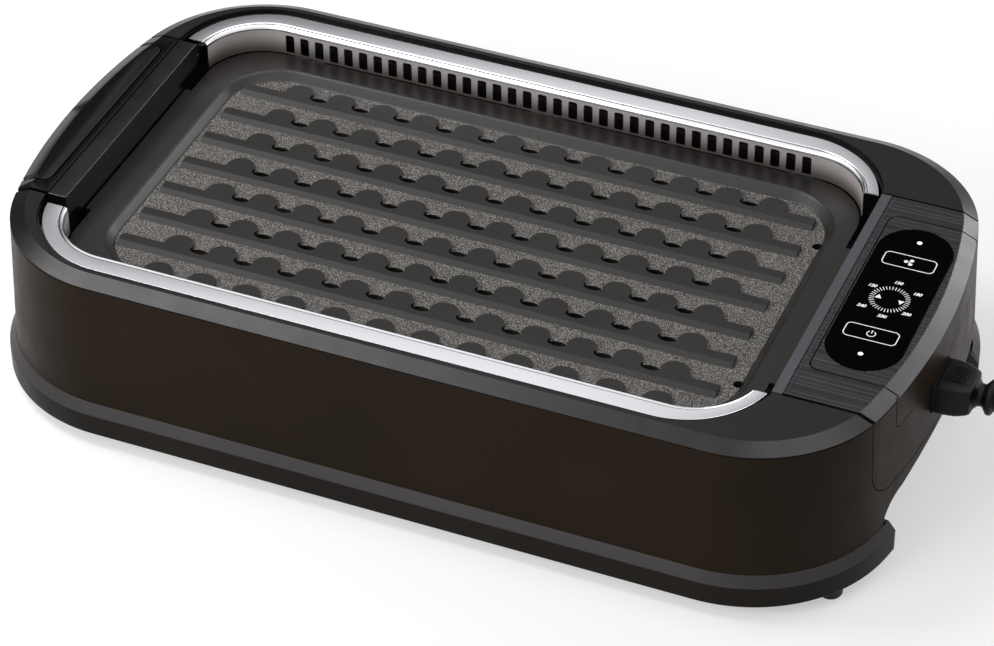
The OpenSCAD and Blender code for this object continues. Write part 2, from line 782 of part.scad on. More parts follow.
// Plate: border, dished floor, rows of lands with humps on their far side, drip holes
well_x0 = plate_x0 + border_left;
well_x1 = plate_x1 - border_right;
well_half = plate_half - border;
well_side = 2.5;
hump_h = 10.5;
hump_half = 9;
land_x0 = well_x0 + 9;
land_x1 = well_x1 - 15;
first_row_y = 27.5 - well_half;
row_count = floor((well_half - 4 - land_depth - first_row_y) / row_pitch) + 1;
hump_count = 2 * floor((land_x1 - land_x0 - 2 * hump_half) / hump_pitch / 2);
hump_mid = (land_x0 + land_x1) / 2 + 3.5;
hump_x0 = hump_mid - (hump_count - 1) * hump_pitch / 2;
function land(y, depth, x0, x1) = concat([[x0, y], [x1, y], [x1, y + depth - hump_h]],
    [for (k = [hump_count - 1 : -1 : 0]) for (i = [0 : 4])
        [hump_x0 + k * hump_pitch + hump_half * cos(45 * i), y + depth - hump_h + hump_h * sin(45 * i)]],
    [[x0, y + depth - hump_h]]);
front_depth = well_half - 1 + first_row_y + land_depth - row_pitch;
front_x = (hump_count - 1) * hump_pitch / 2 + hump_half + 1;
module well_outline(grow) {
    polygon(round_rect(well_x0, well_x1, well_half, well_r, -grow));
}
module plate_border() {
    translate([0, 0, z_border - border_t]) linear_extrude(border_t) difference() {
        union() {
            polygon(round_rect(plate_x0, plate_x1, plate_half, plate_r, 0));
            translate([tab_x0, -tab_half]) square([tab_x1 - tab_x0, 2 * tab_half]);
        }
        well_outline(0);
    }
}

module grill_plate() {
    color([0.26, 0.26, 0.24]) {
        plate_border();
        translate([0, 0, z_under]) linear_extrude(z_border - border_t - z_under + 0.5) difference() {
            well_outline(well_side);
            well_outline(0);
        }
        translate([0, 0, z_under]) linear_extrude(floor_t) difference() {
            well_outline(0.5);
            drip_holes();
            gutter_end(gutter_half);
            gutter_end(-gutter_half);
        }
        translate([0, 0, z_floor - 0.5]) linear_extrude(land_h + 0.5) difference() {
            union() {
                polygon(land(1 - well_half, front_depth, hump_mid - front_x, hump_mid + front_x));
                for (r = [0 : row_count - 1])
                    polygon(land(first_row_y + r * row_pitch, land_depth, land_x0, land_x1));
            }
            drip_holes();
        }
    }
}

hole_l = 12;
hole_w = 7;
module drip_holes() {
    for (r = [-1 : row_count - 1]) for (k = [0 : hump_count - 2])
        translate([hump_x0 + (k + 0.5) * hump_pitch, first_row_y + r * row_pitch + land_depth - notch_in])
            polygon([for (a = [0 : 60 : 359]) [hole_l / 2 * cos(a), hole_w / 2 * sin(a)]]);
}
notch_in = 9.5;

// Drain holes at the ends of the gutter along the right end of the floor
gutter_x = well_x1 - 7;
gutter_half = 68;
module gutter_end(y) {
    polygon(arc(gutter_x, y, 3, 0, 330, 11));
}

// Heating tube in a serpentine under the plate, its cold ends turned down into the plug
element_z = z_under - rest - element_d / 2;
element_x0 = well_x0 + 24;
element_x1 = well_x1 - 30;
element_bend = 16;
pin_y = 22;
function bend(cx, cy, a0, a1) = [for (i = [0 : 4]) let (a = a0 + (a1 - a0) * i / 4)
    [cx + element_bend * cos(a), cy + element_bend * sin(a), element_z]];
function half_element() = concat(
    bend(element_x1 - 60 - element_bend, element_inner_y - element_bend, 0, 90),
    bend(element_x0 + element_bend, element_inner_y + element_bend, 270, 180),
    bend(element_x0 + element_bend, element_outer_y - element_bend, 180, 90),
    bend(element_x1 - element_bend, element_outer_y - element_bend, 90, 0),
    bend(element_x1 + element_bend, pin_y + element_bend, 180, 270),
    [[plug_x - 14, pin_y, element_z], [plug_x - 7.2, pin_y, element_z]]);
module heating_element() {
    half = half_element();
    path = concat(backwards([for (p = half) [p[0], -p[1], p[2]]]), half);
    color([0.45, 0.42, 0.4]) tube(path, element_d / 2, 8, [0, 0, 1]);
}

clip_t = 1;
module element_clip(x, y) {
    in = element_d / 2 + 0.2;
    out = in + clip_t;
    foot = in + 7;
    high = z_under - 0.05;
    translate([x - 5, y, 0]) rotate([90, 0, 90]) linear_extrude(10) difference() {
        polygon([[-foot, high], [-foot, high - clip_t], [-out, high - clip_t], [-out, element_z - out],
            [out, element_z - out], [out, high - clip_t], [foot, high - clip_t], [foot, high]]);
        polygon([[-in, z_under], [-in, element_z - in], [in, element_z - in], [in, z_under]]);
    }
}

module element_clips() {
    color([0.7, 0.7, 0.7]) for (x = [element_x0 + 60, slot_mid_x, element_x1 - 90])
        for (y = [-element_outer_y, -element_inner_y, element_inner_y, element_outer_y]) element_clip(x, y);
}

// Ceramic plug under the plate's right border and the socket that it drops onto
plug_half = 30;
plug_z0 = z_under - 18;
pin_r = 2;
pin_len = 14;
module heater_plug() {
    color([0.9, 0.88, 0.82]) difference() {
        block(plug_x - 7, plug_x + 7, -plug_half, plug_half, plug_z0, z_border - border_t - 0.05);
        for (y = [-pin_y, 0, pin_y]) peg(plug_x, y, plug_z0 - over, plug_z0 + 6, pin_r + run_fit);
    }
}

module heater_pins() {
    color([0.8, 0.7, 0.4]) for (y = [-pin_y, 0, pin_y])
        peg(plug_x, y, plug_z0 - pin_len, plug_z0 + 5.8, pin_r);
}

socket_z1 = plug_z0 - rest;
socket_half = 52;
trough_w = 10;
module heater_socket() {
    color([0.86, 0.84, 0.78]) difference() {
        block(socket_x0, tub_x1 - rest, -socket_half, socket_half, tub_floor_z + 0.05, socket_z1);
        block(plug_x - trough_w / 2, plug_x + trough_w / 2, -plug_half + 2, plug_half - 2,
            socket_z1 - pin_len - 2, socket_z1 + over);
    }
}

module temp_sensor() {
    color([0.75, 0.75, 0.78]) {
        peg(plug_x, 42, socket_z1 + 0.05, z_border - border_t - rest - 3, 3);
        peg(plug_x, 42, z_border - border_t - rest - 4, z_border - border_t - rest, 5);
        peg(plug_x, 42, socket_z1 + 0.05, socket_z1 + 3, 5);
    }
}

// Control electronics between the tub and the right end
board_x = tub_x1 + tub_t + 10;
board_half = 62;
power_z0 = z_inside + 12;
power_z1 = z_inside + 66;
module power_board() {
    color([0.08, 0.32, 0.18]) difference() {
        block(board_x, board_x + board_t, -board_half, board_half, power_z0, power_z1);
        for (y = [-board_half + 6, board_half - 6]) translate([board_x - over, y, power_z0 + 6])
            rotate([0, 90, 0]) cylinder(h = board_t + 2 * over, r = screw_r + run_fit, $fn = 24);
    }
}

module board_parts() {
    x = board_x + board_t + 0.05;
    color([0.2, 0.2, 0.22]) {
        block(x, x + 14, -50, -28, power_z0 + 16, power_z0 + 34);
        block(x, x + 12, -20, 4, power_z0 + 20, power_z0 + 44);
        block(x, x + 10, 30, 52, power_z0 + 14, power_z0 + 30);
        translate([x, 18, power_z0 + 26]) rotate([0, 90, 0]) cylinder(h = 14, r = 6, $fn = 32);
    }
}

module board_brackets() {
    color([0.2, 0.19, 0.19]) for (y = [-board_half + 6, board_half - 6]) difference() {
        union() {
            block(board_x - 6, board_x - 0.05, y - 5, y + 5, z_inside + 0.05, power_z0 + 12);
            block(board_x - 6, board_x + 8, y - 5, y + 5, z_inside + 0.05, z_inside + 3);
        }
        translate([board_x - 6 - over, y, power_z0 + 6]) rotate([0, 90, 0])
            cylinder(h = 10, r = screw_r, $fn = 24);
    }
}

// Inlet behind the right cap: a box with a well for the connector's nose
nose_l = 16;
face_x = bow_cx + end_r - lean(inlet_z) - 0.4;
inlet_x1 = face_x - wall - 1.6;
inlet_x0 = inlet_x1 - nose_l - 8;
module inlet_socket() {
    w = inlet_w / 2;
    h = inlet_h / 2;
    color([0.06, 0.06, 0.06]) {
        difference() {
            block(inlet_x0, inlet_x1, inlet_y - w - wall, inlet_y + w + wall,
                inlet_z - h - wall, inlet_z + h + wall);
            block(inlet_x1 - nose_l, inlet_x1 + over, inlet_y - w, inlet_y + w, inlet_z - h, inlet_z + h);
            for (y = inlet_pin_y) translate([inlet_x0 - over, inlet_y + y, inlet_z]) rotate([0, 90, 0])
                cylinder(h = 12, r = inlet_pin_r + run_fit, $fn = 24);
        }
        difference() {
            block(inlet_x0, inlet_x0 + 6, inlet_y - 12, inlet_y + 12,
                z_grip + wall + 0.05, inlet_z - h - wall + 0.5);
            block(inlet_x0 - over, inlet_x0 + 6 + over, inlet_y - 6, inlet_y + 6,
                z_grip + wall, z_grip + wall + 5);
        }
    }
}

inlet_pin_r = 1.8;
inlet_pin_y = [-8, 0, 8];
module inlet_pins() {
    color([0.8, 0.75, 0.5]) for (y = inlet_pin_y) translate([inlet_x0 - 5, inlet_y + y, inlet_z])
        rotate([0, 90, 0]) cylinder(h = nose_l + 1, r = inlet_pin_r, $fn = 24);
}

// Fan under the tub: housing, motor on the bottom cover, impeller over the motor
scroll_z0 = cover_z1 + 0.3;
scroll_z1 = tub_floor_z - tub_t - 9;
inlet_hole_r = impeller_d / 2 - 14;
module fan_housing() {
    h = scroll_z1 - scroll_z0;
    color([0.25, 0.25, 0.26]) translate([fan_x, fan_y, scroll_z0]) difference() {
        cylinder(h = h, r = scroll_d / 2, $fn = 64);
        translate([0, 0, -over]) cylinder(h = h + over - 1.5, r = scroll_d / 2 - 2, $fn = 64);
        cylinder(h = h + over, r = inlet_hole_r, $fn = 64);
    }
}

motor_z1 = scroll_z0 + 15;
module fan_motor() {
    color([0.5, 0.5, 0.52]) translate([fan_x, fan_y, 0]) difference() {
        peg(0, 0, scroll_z0 - 0.25, motor_z1, motor_d / 2);
        peg(0, 0, scroll_z0 + 3, motor_z1 + over, shaft_r + run_fit);
    }
}

fan_disc_z = scroll_z0 + 4;
blade_h = scroll_z1 - 1.5 - 2 - fan_disc_z;
hub_r = motor_d / 2 + 3;
module fan_impeller() {
    r = impeller_d / 2;
    color([0.7, 0.7, 0.72]) translate([fan_x, fan_y, 0]) {
        difference() {
            union() {
                peg(0, 0, fan_disc_z, fan_disc_z + 1.5, r);
                peg(0, 0, fan_disc_z, motor_z1 + 3.5, hub_r);
            }
            peg(0, 0, fan_disc_z - over, motor_z1 + 2, hub_r - 1.5);
        }
        peg(0, 0, scroll_z0 + 4, motor_z1 + 3, shaft_r);
        for (k = [0 : blade_count - 1]) rotate(360 * k / blade_count) translate([r - 9, 0, fan_disc_z + 1])
            rotate(35) translate([-8, -0.6, 0]) cube([16, 1.2, blade_h - 1]);
    }
}

// Internal wires, held along the walls for their whole way
wire_r = 1.6;
z_over_ledge = z_inside + ledge_top + wire_r + 0.1;
module wiring() {
    x = board_x + board_t + 7;
    color([0.75, 0.1, 0.08]) {
        tube([[inlet_x0 - 5.1, inlet_y, inlet_z], [inlet_x0 - 8, inlet_y, inlet_z],
            [inlet_x0 - 12, inlet_y - 2, inlet_z - 1], [inlet_x0 - 16, inlet_y - 7, inlet_z - 4],
            [inlet_x0 - 19, inlet_y - 14, inlet_z - 8], [x + 1, -35, power_z0 + 42],
            [x, -38, power_z0 + 38], [x, -38.5, power_z0 + 34.4]], wire_r, 8, [1, 0.2, 0]);
        tube([[x - 3, -56, power_z0 + 0.5], [x - 3, -58, power_z0 - 4], [x - 5, -63, z_inside + 5],
            [x - 10, -70, z_inside + 2], [x - 20, -80, z_inside + 1.8], [x - 35, -90, z_over_ledge],
            [x - 58, -94, z_over_ledge]], wire_r, 8, [0, 0, 1]);
    }
}

// Connector on the lead: nose, grip, collar
nose_gap = 0.7;  // room round the nose in the inlet's well
nose_half_w = inlet_w / 2 - nose_gap;
nose_half_h = inlet_h / 2 - nose_gap;
conn_face = bow_cx + end_r - lean(inlet_z - inlet_h / 2 - 2) + rest;
grip_l = 20;
collar_x = conn_face + grip_l + 5;
function oval(w, h, x, n = 16) = [for (k = [0 : n - 1]) let (a = 360 * k / n, c = cos(a), s = sin(a))
    [x, inlet_y + w / 2 * sign(c) * pow(abs(c), 0.6), inlet_z + h / 2 * sign(s) * pow(abs(s), 0.6)]];
module connector() {
    color([0.05, 0.05, 0.055]) {
        difference() {
            block(inlet_x1 - nose_l + 1, conn_face + 1, inlet_y - nose_half_w, inlet_y + nose_half_w,
                inlet_z - nose_half_h, inlet_z + nose_half_h);
            for (y = inlet_pin_y) translate([inlet_x1 - nose_l - over, inlet_y + y, inlet_z])
                rotate([0, 90, 0]) cylinder(h = 15, r = inlet_pin_r + 0.3, $fn = 24);
        }
        skin([oval(31, 22, conn_face), oval(32, 23, conn_face + 4), oval(30, 22, conn_face + grip_l - 7),
            oval(20, 17, conn_face + grip_l), oval(13, 13, collar_x - 3), oval(13, 13, collar_x),
            oval(21, 21, collar_x + 3), oval(21, 21, collar_x + 5), oval(14, 14, collar_x + 8)]);
    }
}

relief_x0 = collar_x + 8;
exit_x = 345;
module cord_relief() {
    color([0.05, 0.05, 0.055]) translate([relief_x0, inlet_y, inlet_z]) rotate([0, 90, 0]) {
        translate([0, 0, 0.05])
            cylinder(h = exit_x - relief_x0 - 0.05, r1 = 6.4, r2 = cord_d / 2 + 0.8, $fn = 24);
        for (k = [0 : 3]) translate([0, 0, 5 + 7 * k]) cylinder(h = 3, r = 6.8 - 0.5 * k, $fn = 24);
    }
}

// Route of the lead from the strain relief down to the coil, chosen by hand
run_points = [[345, -12, 76], [352, -12, 76], [358, -12, 75.5], [364, -12, 74], [369, -12, 71.5],
    [374, -12, 68], [378, -12, 63.5], [381, -12, 58], [383, -12, 52], [384, -12, 46], [385, -12, 40],
    [386, -12, 34], [388, -12, 28], [391, -12, 22], [395, -12, 16], [400, -12, 11], [406, -12, 7],
    [413, -12, 4.6], [420, -12, 3.9], [426, -12, 3.85], [433, -12, 3.85]];
module cord_run() {
    color([0.04, 0.04, 0.04]) tube(run_points, cord_d / 2, 8, [0, 1, 0]);
}

// Coil: in along the lower layer, up a layer where the spiral turns back, out along the upper
coil_gap = 0.45;
lay_z = 3.85;
coil_pitch = cord_d + coil_gap;
coil_outer = coil_mid_r + coil_pitch;
coil_cx = 433 + cord_d;
coil_cy = -12 - coil_outer;
coil_steps = 24;
layer_turns = 2;
function coil_radius(t) = coil_outer - coil_pitch * (t < layer_turns ? t : 2 * layer_turns - t);
function coil_height(t) = let (s = min(1, max(0, (t - layer_turns + 0.25) * 2)))
    lay_z + coil_pitch * s * s * (3 - 2 * s);
function coil_point(t) = [coil_cx + coil_radius(t) * sin(360 * t), coil_cy + coil_radius(t) * cos(360 * t),
    coil_height(t)];
coil_end = coil_point(coil_turns) - [0, cord_d, 0];
coil_path = concat([[coil_cx - cord_d, -12, lay_z]],
    [for (i = [0 : coil_turns * coil_steps]) coil_point(i / coil_steps)], [coil_end]);
module cord_coil() {
    color([0.04, 0.04, 0.04]) tube(coil_path, cord_d / 2, 6, [0, 0, 1]);
}

// Least gap between the coil's turns, measured on its points
function gap_to(i) = min([for (j = [0 : len(coil_path) - 1])
    abs(i - j) > coil_steps / 2 ? norm(coil_path[i] - coil_path[j]) : 1000]) - cord_d;
echo(least_coil_gap = min([for (i = [0 : len(coil_path) - 1]) gap_to(i)]));

// Route from the end of the coil to the plug, chosen by hand, measured from the coil's end
tail_points = [[0, 0, 0], [0, -7, 0], [0, -14, 0], [0, -21, -0.4], [0, -28, -1.6], [0, -35, -3.4],
    [0, -42, -5.2], [0, -49, -6.4], [0, -56, -6.9], [0, -63, -6.9], [0, -70, -6.2], [0, -77, -4.6],
    [0, -84, -2.6], [0, -91, -0.9], [0, -98, 0], [0, -105, 0.2], [0, -112, 0.2]];
module cord_tail() {
    color([0.04, 0.04, 0.04]) tube([for (p = tail_points) coil_end + p], cord_d / 2, 8, [1, 0, 0]);
}

// Strap round the three strands at the far side of the coil
tie_t = 0.45;
tie_w = 6;
tie_slack = 0.25;
tie_play = 0.4;  // more room on the inside, where the strands bend
function tie_outline(c) = let (ra = coil_radius(1.5), rb = coil_radius(0.5), zb = coil_height(0.5),
    zt = coil_height(2.5), k = sqrt(2) - 1)
    [[ra - c - tie_play, zb - c], [rb + c, zb - c], [rb + c, zb + k * c], [ra + k * c, zt + c],
        [ra - c - tie_play, zt + c]];
module cord_tie() {
    c = cord_d / 2 + tie_slack;
    color([0.08, 0.08, 0.08]) translate([coil_cx - tie_w / 2, coil_cy, 0]) rotate([90, 0, -90])
        mirror([0, 0, 1]) linear_extrude(tie_w) difference() {
            polygon(tie_outline(c + tie_t * 0.7));
            polygon(tie_outline(c));
        }
}

// Grounded plug lying on the floor at the end of the lead
plug_end = coil_end + tail_points[len(tail_points) - 1];
plug_l = 30;
plug_w = 25;
plug_h = 21;
plug_taper = 16;
function plug_ring(w, h, y, n = 16) = [for (k = [0 : n - 1]) let (a = 360 * k / n, c = cos(a), s = sin(a))
    plug_end + [w / 2 * sign(c) * pow(abs(c), 0.6), -y, h / 2 * sign(s) * pow(abs(s), 0.6)]];
module mains_plug() {
    color([0.05, 0.05, 0.055]) difference() {
        skin([plug_ring(cord_d + 1.6, cord_d + 1.6, 0), plug_ring(cord_d + 5, cord_d + 5, plug_taper),
            plug_ring(plug_w - 6, plug_h - 5, plug_taper + 7), plug_ring(plug_w, plug_h, plug_taper + 14),
            plug_ring(plug_w, plug_h, plug_taper + plug_l - 2),
            plug_ring(plug_w - 3, plug_h - 3, plug_taper + plug_l)]);
        blade_slots(0.05, plug_l - 14);
    }
}

// Two flat blades and a round earth pin in the plug's face
blade_l = 17;
module blade_slots(play, depth) {
    y1 = plug_end[1] - plug_taper - plug_l;
    for (s = [-1, 1]) block(plug_end[0] + s * 6.3 - 0.75 - play, plug_end[0] + s * 6.3 + 0.75 + play,
        y1 - blade_l, y1 + depth, plug_end[2] - 5 - play, plug_end[2] + 1.4 + play);
    translate([plug_end[0], y1 + depth, plug_end[2] + 6]) rotate([90, 0, 0])
        cylinder(h = blade_l + 3 + depth, r = 2.4 + play, $fn = 32);
}

module plug_blades() {
    color([0.8, 0.72, 0.45]) blade_slots(0, plug_l - 14.05);
}

base_skirt();
bottom_cover();
cover_screws();
feet();
post_screws();
rim_posts();
body_wrap();
cap_left();
cap_right();
top_rim();
trim_front();
trim_back();
strip_left();
strip_right();
handle_left();
grip_left();
handle_right();
panel_insert();
touch_glass();
touch_board();
status_lights();
inner_tub();
smoke_duct();
drip_tray();
grill_plate();
heating_element();
element_clips();
heater_plug();
heater_pins();
heater_socket();
temp_sensor();
power_board();
board_parts();
board_brackets();
inlet_socket();
inlet_pins();
fan_housing();
fan_motor();
fan_impeller();
wiring();
connector();
cord_relief();
cord_run();
cord_coil();
cord_tail();
cord_tie();
mains_plug();
plug_blades();
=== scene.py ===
"""Looks of a countertop electric grill. Sizes are in millimetres in the functions, in the frame of the CAD."""
import math

import bmesh
import bpy
from mathutils import Matrix, Vector


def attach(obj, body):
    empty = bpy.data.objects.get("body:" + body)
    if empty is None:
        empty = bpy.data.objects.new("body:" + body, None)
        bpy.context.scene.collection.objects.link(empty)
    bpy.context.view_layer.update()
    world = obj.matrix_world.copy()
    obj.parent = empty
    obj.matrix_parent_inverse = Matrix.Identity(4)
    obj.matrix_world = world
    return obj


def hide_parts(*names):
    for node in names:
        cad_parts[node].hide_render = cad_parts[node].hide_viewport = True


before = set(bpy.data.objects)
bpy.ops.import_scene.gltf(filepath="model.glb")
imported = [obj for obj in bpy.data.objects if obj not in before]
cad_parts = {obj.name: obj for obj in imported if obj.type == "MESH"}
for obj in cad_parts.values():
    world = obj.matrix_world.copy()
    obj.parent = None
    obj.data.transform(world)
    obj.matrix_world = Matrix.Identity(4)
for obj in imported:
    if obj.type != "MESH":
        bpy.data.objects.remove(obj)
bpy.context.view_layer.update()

# ---- camera
AZIMUTH = 22.96
ELEVATION = 38.59
ROLL = 0.46
DISTANCE = 2.0899
AIM_RIGHT = -0.00238
AIM_UP = 0.0658
AIM_Z = 0.112
FOCAL_PX = 3609.75
IMAGE_W = 994


def linked(name, data):
    """A new object in the scene."""
    obj = bpy.data.objects.new(name, data)
    bpy.context.collection.objects.link(obj)
    return obj


def make_camera():
    """The camera looks at a point just over the middle of the object from its front right."""
    az, el, ro = (math.radians(a) for a in (AZIMUTH, ELEVATION, ROLL))
    right = Vector((math.cos(az), math.sin(az), 0))
    back = Vector((math.sin(az) * math.cos(el), -math.cos(az) * math.cos(el), math.sin(el)))
    up = back.cross(right)
    r = right * math.cos(ro) - up * math.sin(ro)
    u = right * math.sin(ro) + up * math.cos(ro)
    data = bpy.data.cameras.new("camera")
    data.sensor_width = 36
    data.lens = FOCAL_PX / IMAGE_W * data.sensor_width
    cam = linked("camera", data)
    place = back * DISTANCE - r * AIM_RIGHT - u * AIM_UP + Vector((0, 0, AIM_Z))
    turn = Matrix((r, u, back)).transposed()
    cam.matrix_world = Matrix.Translation(place) @ turn.to_4x4()
    bpy.context.scene.camera = cam


make_camera()

# ---- sizes, as in the CAD
BODY_A = 275  # half length
BODY_B = 153  # half depth
CORNER_R = 82
END_R = 410   # of the bowed ends
WALL = 2.5
Z_BASE = 8
Z_SKIRT = 22
Z_BODY = 28
Z_WALL = 109
Z_TOP = 114
Z_TRIM = 112
Z_LEDGE = 104.5
Z_BORDER = 93
Z_FLOOR = 87.5
Z_UNDER = 83
DRAFT = 3.4      # how far the wall leans out at its foot
SKIRT_OUT = 4.4  # skirt beyond the wall's foot
BEVEL_W = 8.8
GRIP_HALF = 79
GRIP_X = 243
Z_GRIP = 50
HANDLE_HALF = 97
HANDLE_HALF_LEFT = 85.5
TRIM_GAP_LEFT = 6
INSERT_HALF = 74.7
SEAM = 0.5
SLIP = 0.4  # room round a piece that drops in
INSERT_SEAM = 0.9
FRONT_GAP = 1.3
STRIP_LEFT = (-245.2, -233.5)
STRIP_RIGHT = (204.5, 210.4)
GLASS_X = 239
GLASS_W = 44
GLASS_L = 134
PANEL_Y = 4.7
INLET_Y = -12
INLET_Z = 76
INLET_W = 31
INLET_H = 20
COVER = (-150, 150, 100, 20)  # bottom cover as x0, x1, half depth and corner radius
RABBET = 6
STRIP_WALL = 2
PAST = 300  # beyond either end of the body

# ---- outlines
BOW_STEPS = 10
CORNER_STEPS = 30
BOW_CX = BODY_A - END_R
CORNER_CY = BODY_B - CORNER_R
CORNER_CX = BOW_CX + math.sqrt((END_R - CORNER_R) ** 2 - CORNER_CY ** 2)
BOW_ANGLE = math.atan2(CORNER_CY, CORNER_CX - BOW_CX)


def arc(cx, cy, r, a0, a1, n):
    """Points on an arc, angles in degrees."""
    turn = [math.radians(a0 + (a1 - a0) * i / n) for i in range(n + 1)]
    return [(cx + r * math.cos(a), cy + r * math.sin(a)) for a in turn]


def circle(cx, cy, r, n):
    return arc(cx, cy, r, 0, 360 - 360 / n, n - 1)


def swell(v, power):
    """A power of v that keeps its sign."""
    return math.copysign(abs(v) ** power, v)


def oval(w, h, n, power):
    """Closed outline from an ellipse (power 1) to nearly a rectangle (power near nought)."""
    return [(w / 2 * swell(math.cos(a), power), h / 2 * swell(math.sin(a), power))
            for a in (2 * math.pi * k / n for k in range(n))]


def plan(inset):
    """The body's outline drawn in by inset, from the middle of the right end round by the back."""
    bow = math.degrees(BOW_ANGLE)
    quarter = arc(BOW_CX, 0, END_R - inset, 0, bow, BOW_STEPS)[1:-1]
    quarter += arc(CORNER_CX, CORNER_CY, CORNER_R - inset, bow, 90, CORNER_STEPS)
    right = (BODY_A - inset, 0)
    flip = lambda sx, sy, pts: [(x * sx, y * sy) for x, y in pts]
    return ([right] + quarter + flip(-1, 1, quarter[::-1]) + [(-right[0], 0)]
            + flip(-1, -1, quarter) + flip(1, -1, quarter[::-1]))


def round_rect(x0, x1, half, r, inset=0, n=16):
    """Rounded rectangle drawn in by inset, with half its depth along Y."""
    q = r - inset
    return (arc(x1 - r, half - r, q, 0, 90, n) + arc(x0 + r, half - r, q, 90, 180, n)
            + arc(x0 + r, r - half, q, 180, 270, n) + arc(x1 - r, r - half, q, 270, 360, n))


def rounded_box(cx, cy, w, h, r, n=8):
    """Rounded rectangle about a middle."""
    return [p for sx, sy, t in ((1, 1, 0), (-1, 1, 90), (-1, -1, 180), (1, -1, 270))
            for p in arc(cx + sx * (w / 2 - r), cy + sy * (h / 2 - r), r, t, t + 90, n)]


def lean(z):
    """Inset of the body's wall at a height."""
    return -DRAFT * (Z_WALL - z) / (Z_WALL - Z_BODY)


def at(points, z):
    return [(x, y, z) for x, y in points]


def round_profile(corners, radii, steps=4):
    """Closed profile of (inset, z) corners, each rounded with its own radius."""
    out = []
    for i, (corner, r) in enumerate(zip(corners, radii)):
        p = Vector(corner)
        a = Vector(corners[i - 1]) - p
        b = Vector(corners[(i + 1) % len(corners)]) - p
        reach = min(r, a.length * 0.45, b.length * 0.45)
        p0, p1 = p + a.normalized() * reach, p + b.normalized() * reach
        for t in (k / steps for k in range(steps + 1)):
            out.append(tuple(p0 * (1 - t) ** 2 + p * 2 * t * (1 - t) + p1 * t * t))
    return out


# ---- mesh building
MM = 0.001
WELD = 0.00002    # points closer than this become one, in metres
SLIVER = 0.00001  # faces thinner than this go


def mesh_object(name, points, faces, smooth=True):
    mesh = bpy.data.meshes.new(name)
    mesh.from_pydata([Vector(p) * MM for p in points], [], faces)
    mesh.update()
    if smooth:
        mesh.shade_smooth()
    return linked(name, mesh)


def skin(name, rings, loop=False):
    """Solid over equal closed rings; loop joins the last ring to the first, else the ends are closed."""
    n, m = len(rings[0]), len(rings)
    points = [p for ring in rings for p in ring]
    faces = []
    for i in range(m if loop else m - 1):
        a, b = i * n, (i + 1) % m * n
        faces += [(a + j, a + (j + 1) % n, b + (j + 1) % n, b + j) for j in range(n)]
    if not loop:
        faces.append(tuple(range(n))[::-1])
        faces.append(tuple((m - 1) * n + j for j in range(n)))
    obj = mesh_object(name, points, faces)
    outward(obj)
    return obj


def outward(obj):
    """Turns the faces of a closed mesh outwards."""
    bm = bmesh.new()
    bm.from_mesh(obj.data)
    bmesh.ops.recalc_face_normals(bm, faces=bm.faces)
    if bm.calc_volume(signed=True) < 0:
        bmesh.ops.reverse_faces(bm, faces=bm.faces)
    bm.to_mesh(obj.data)
    bm.free()


def loft(name, levels):
    """Solid over plan outlines, levels a list of (inset, z)."""
    return skin(name, [at(plan(inset), z) for inset, z in levels])


def band(name, profile):
    """Closed ring whose section is a profile of (inset, z)."""
    return skin(name, [at(plan(inset), z) for inset, z in profile], loop=True)


def prism(name, points, z0, z1):
    return skin(name, [at(points, z0), at(points, z1)])


def block(name, x0, x1, y0, y1, z0, z1):
    return prism(name, [(x0, y0), (x1, y0), (x1, y1), (x0, y1)], z0, z1)


def end_prism(name, outline, x0=200, x1=PAST):
    """Prism along X whose outline is in (y, z)."""
    return skin(name, [[(x0, y, z) for y, z in outline], [(x1, y, z) for y, z in outline]])


def bake(obj):
    """Applies the modifiers of an object."""
    deps = bpy.context.evaluated_depsgraph_get()
    deps.update()
    mesh = bpy.data.meshes.new_from_object(obj.evaluated_get(deps))
    old = obj.data
    obj.modifiers.clear()
    obj.data = mesh
    bpy.data.meshes.remove(old)
    obj.data.name = obj.name


def boolean(obj, other, operation="DIFFERENCE"):
    """Cuts, joins or crosses obj with another closed mesh, which is used up."""
    mod = obj.modifiers.new("cut", "BOOLEAN")
    mod.object = other
    mod.operation = operation
    mod.solver = "MANIFOLD"
    bake(obj)
    bpy.data.objects.remove(other)
    return obj


def join(*objs):
    """Puts the meshes of several objects into the first."""
    first = objs[0]
    bm = bmesh.new()
    for obj in objs:
        bm.from_mesh(obj.data)
    bm.to_mesh(first.data)
    bm.free()
    for obj in objs[1:]:
        bpy.data.objects.remove(obj)
    return first


def soften(obj, width=0.4, segments=2, angle=32):
    """Rounds the sharp edges and shades the rest smooth."""
    bm = bmesh.new()
    bm.from_mesh(obj.data)
    bmesh.ops.remove_doubles(bm, verts=bm.verts, dist=WELD)
    bmesh.ops.dissolve_degenerate(bm, edges=bm.edges, dist=SLIVER)
    bm.to_mesh(obj.data)
    bm.free()
    mod = obj.modifiers.new("edges", "BEVEL")
    mod.width = width * MM
    mod.segments = segments
    mod.limit_method = "ANGLE"
    mod.angle_limit = math.radians(angle)
    mod.use_clamp_overlap = True
    bake(obj)
    return shade(obj)


def shade(obj, angle=35):
    """Smooth shading that breaks at sharp edges, with flat faces kept flat."""
    obj.data.shade_smooth()
    obj.data.set_sharp_from_angle(angle=math.radians(angle))
    mod = obj.modifiers.new("normals", "WEIGHTED_NORMAL")
    mod.keep_sharp = True
    mod.weight = 80
    bake(obj)
    return obj


def mirrored(obj, name):
    """A copy of a mesh on the other end of the body."""
    twin = linked(name, obj.data.copy())
    for v in twin.data.vertices:
        v.co.x = -v.co.x
    twin.data.flip_normals()
    return twin


def flipped(obj, name):
    """A mesh moved to the other end of the body."""
    twin = mirrored(obj, name)
    bpy.data.objects.remove(obj)
    return twin


def at_both_ends(obj, cutter):
    """Cuts obj with a cutter made for the right end and with its mirror image."""
    boolean(obj, join(cutter, mirrored(cutter, cutter.name + "_left")))


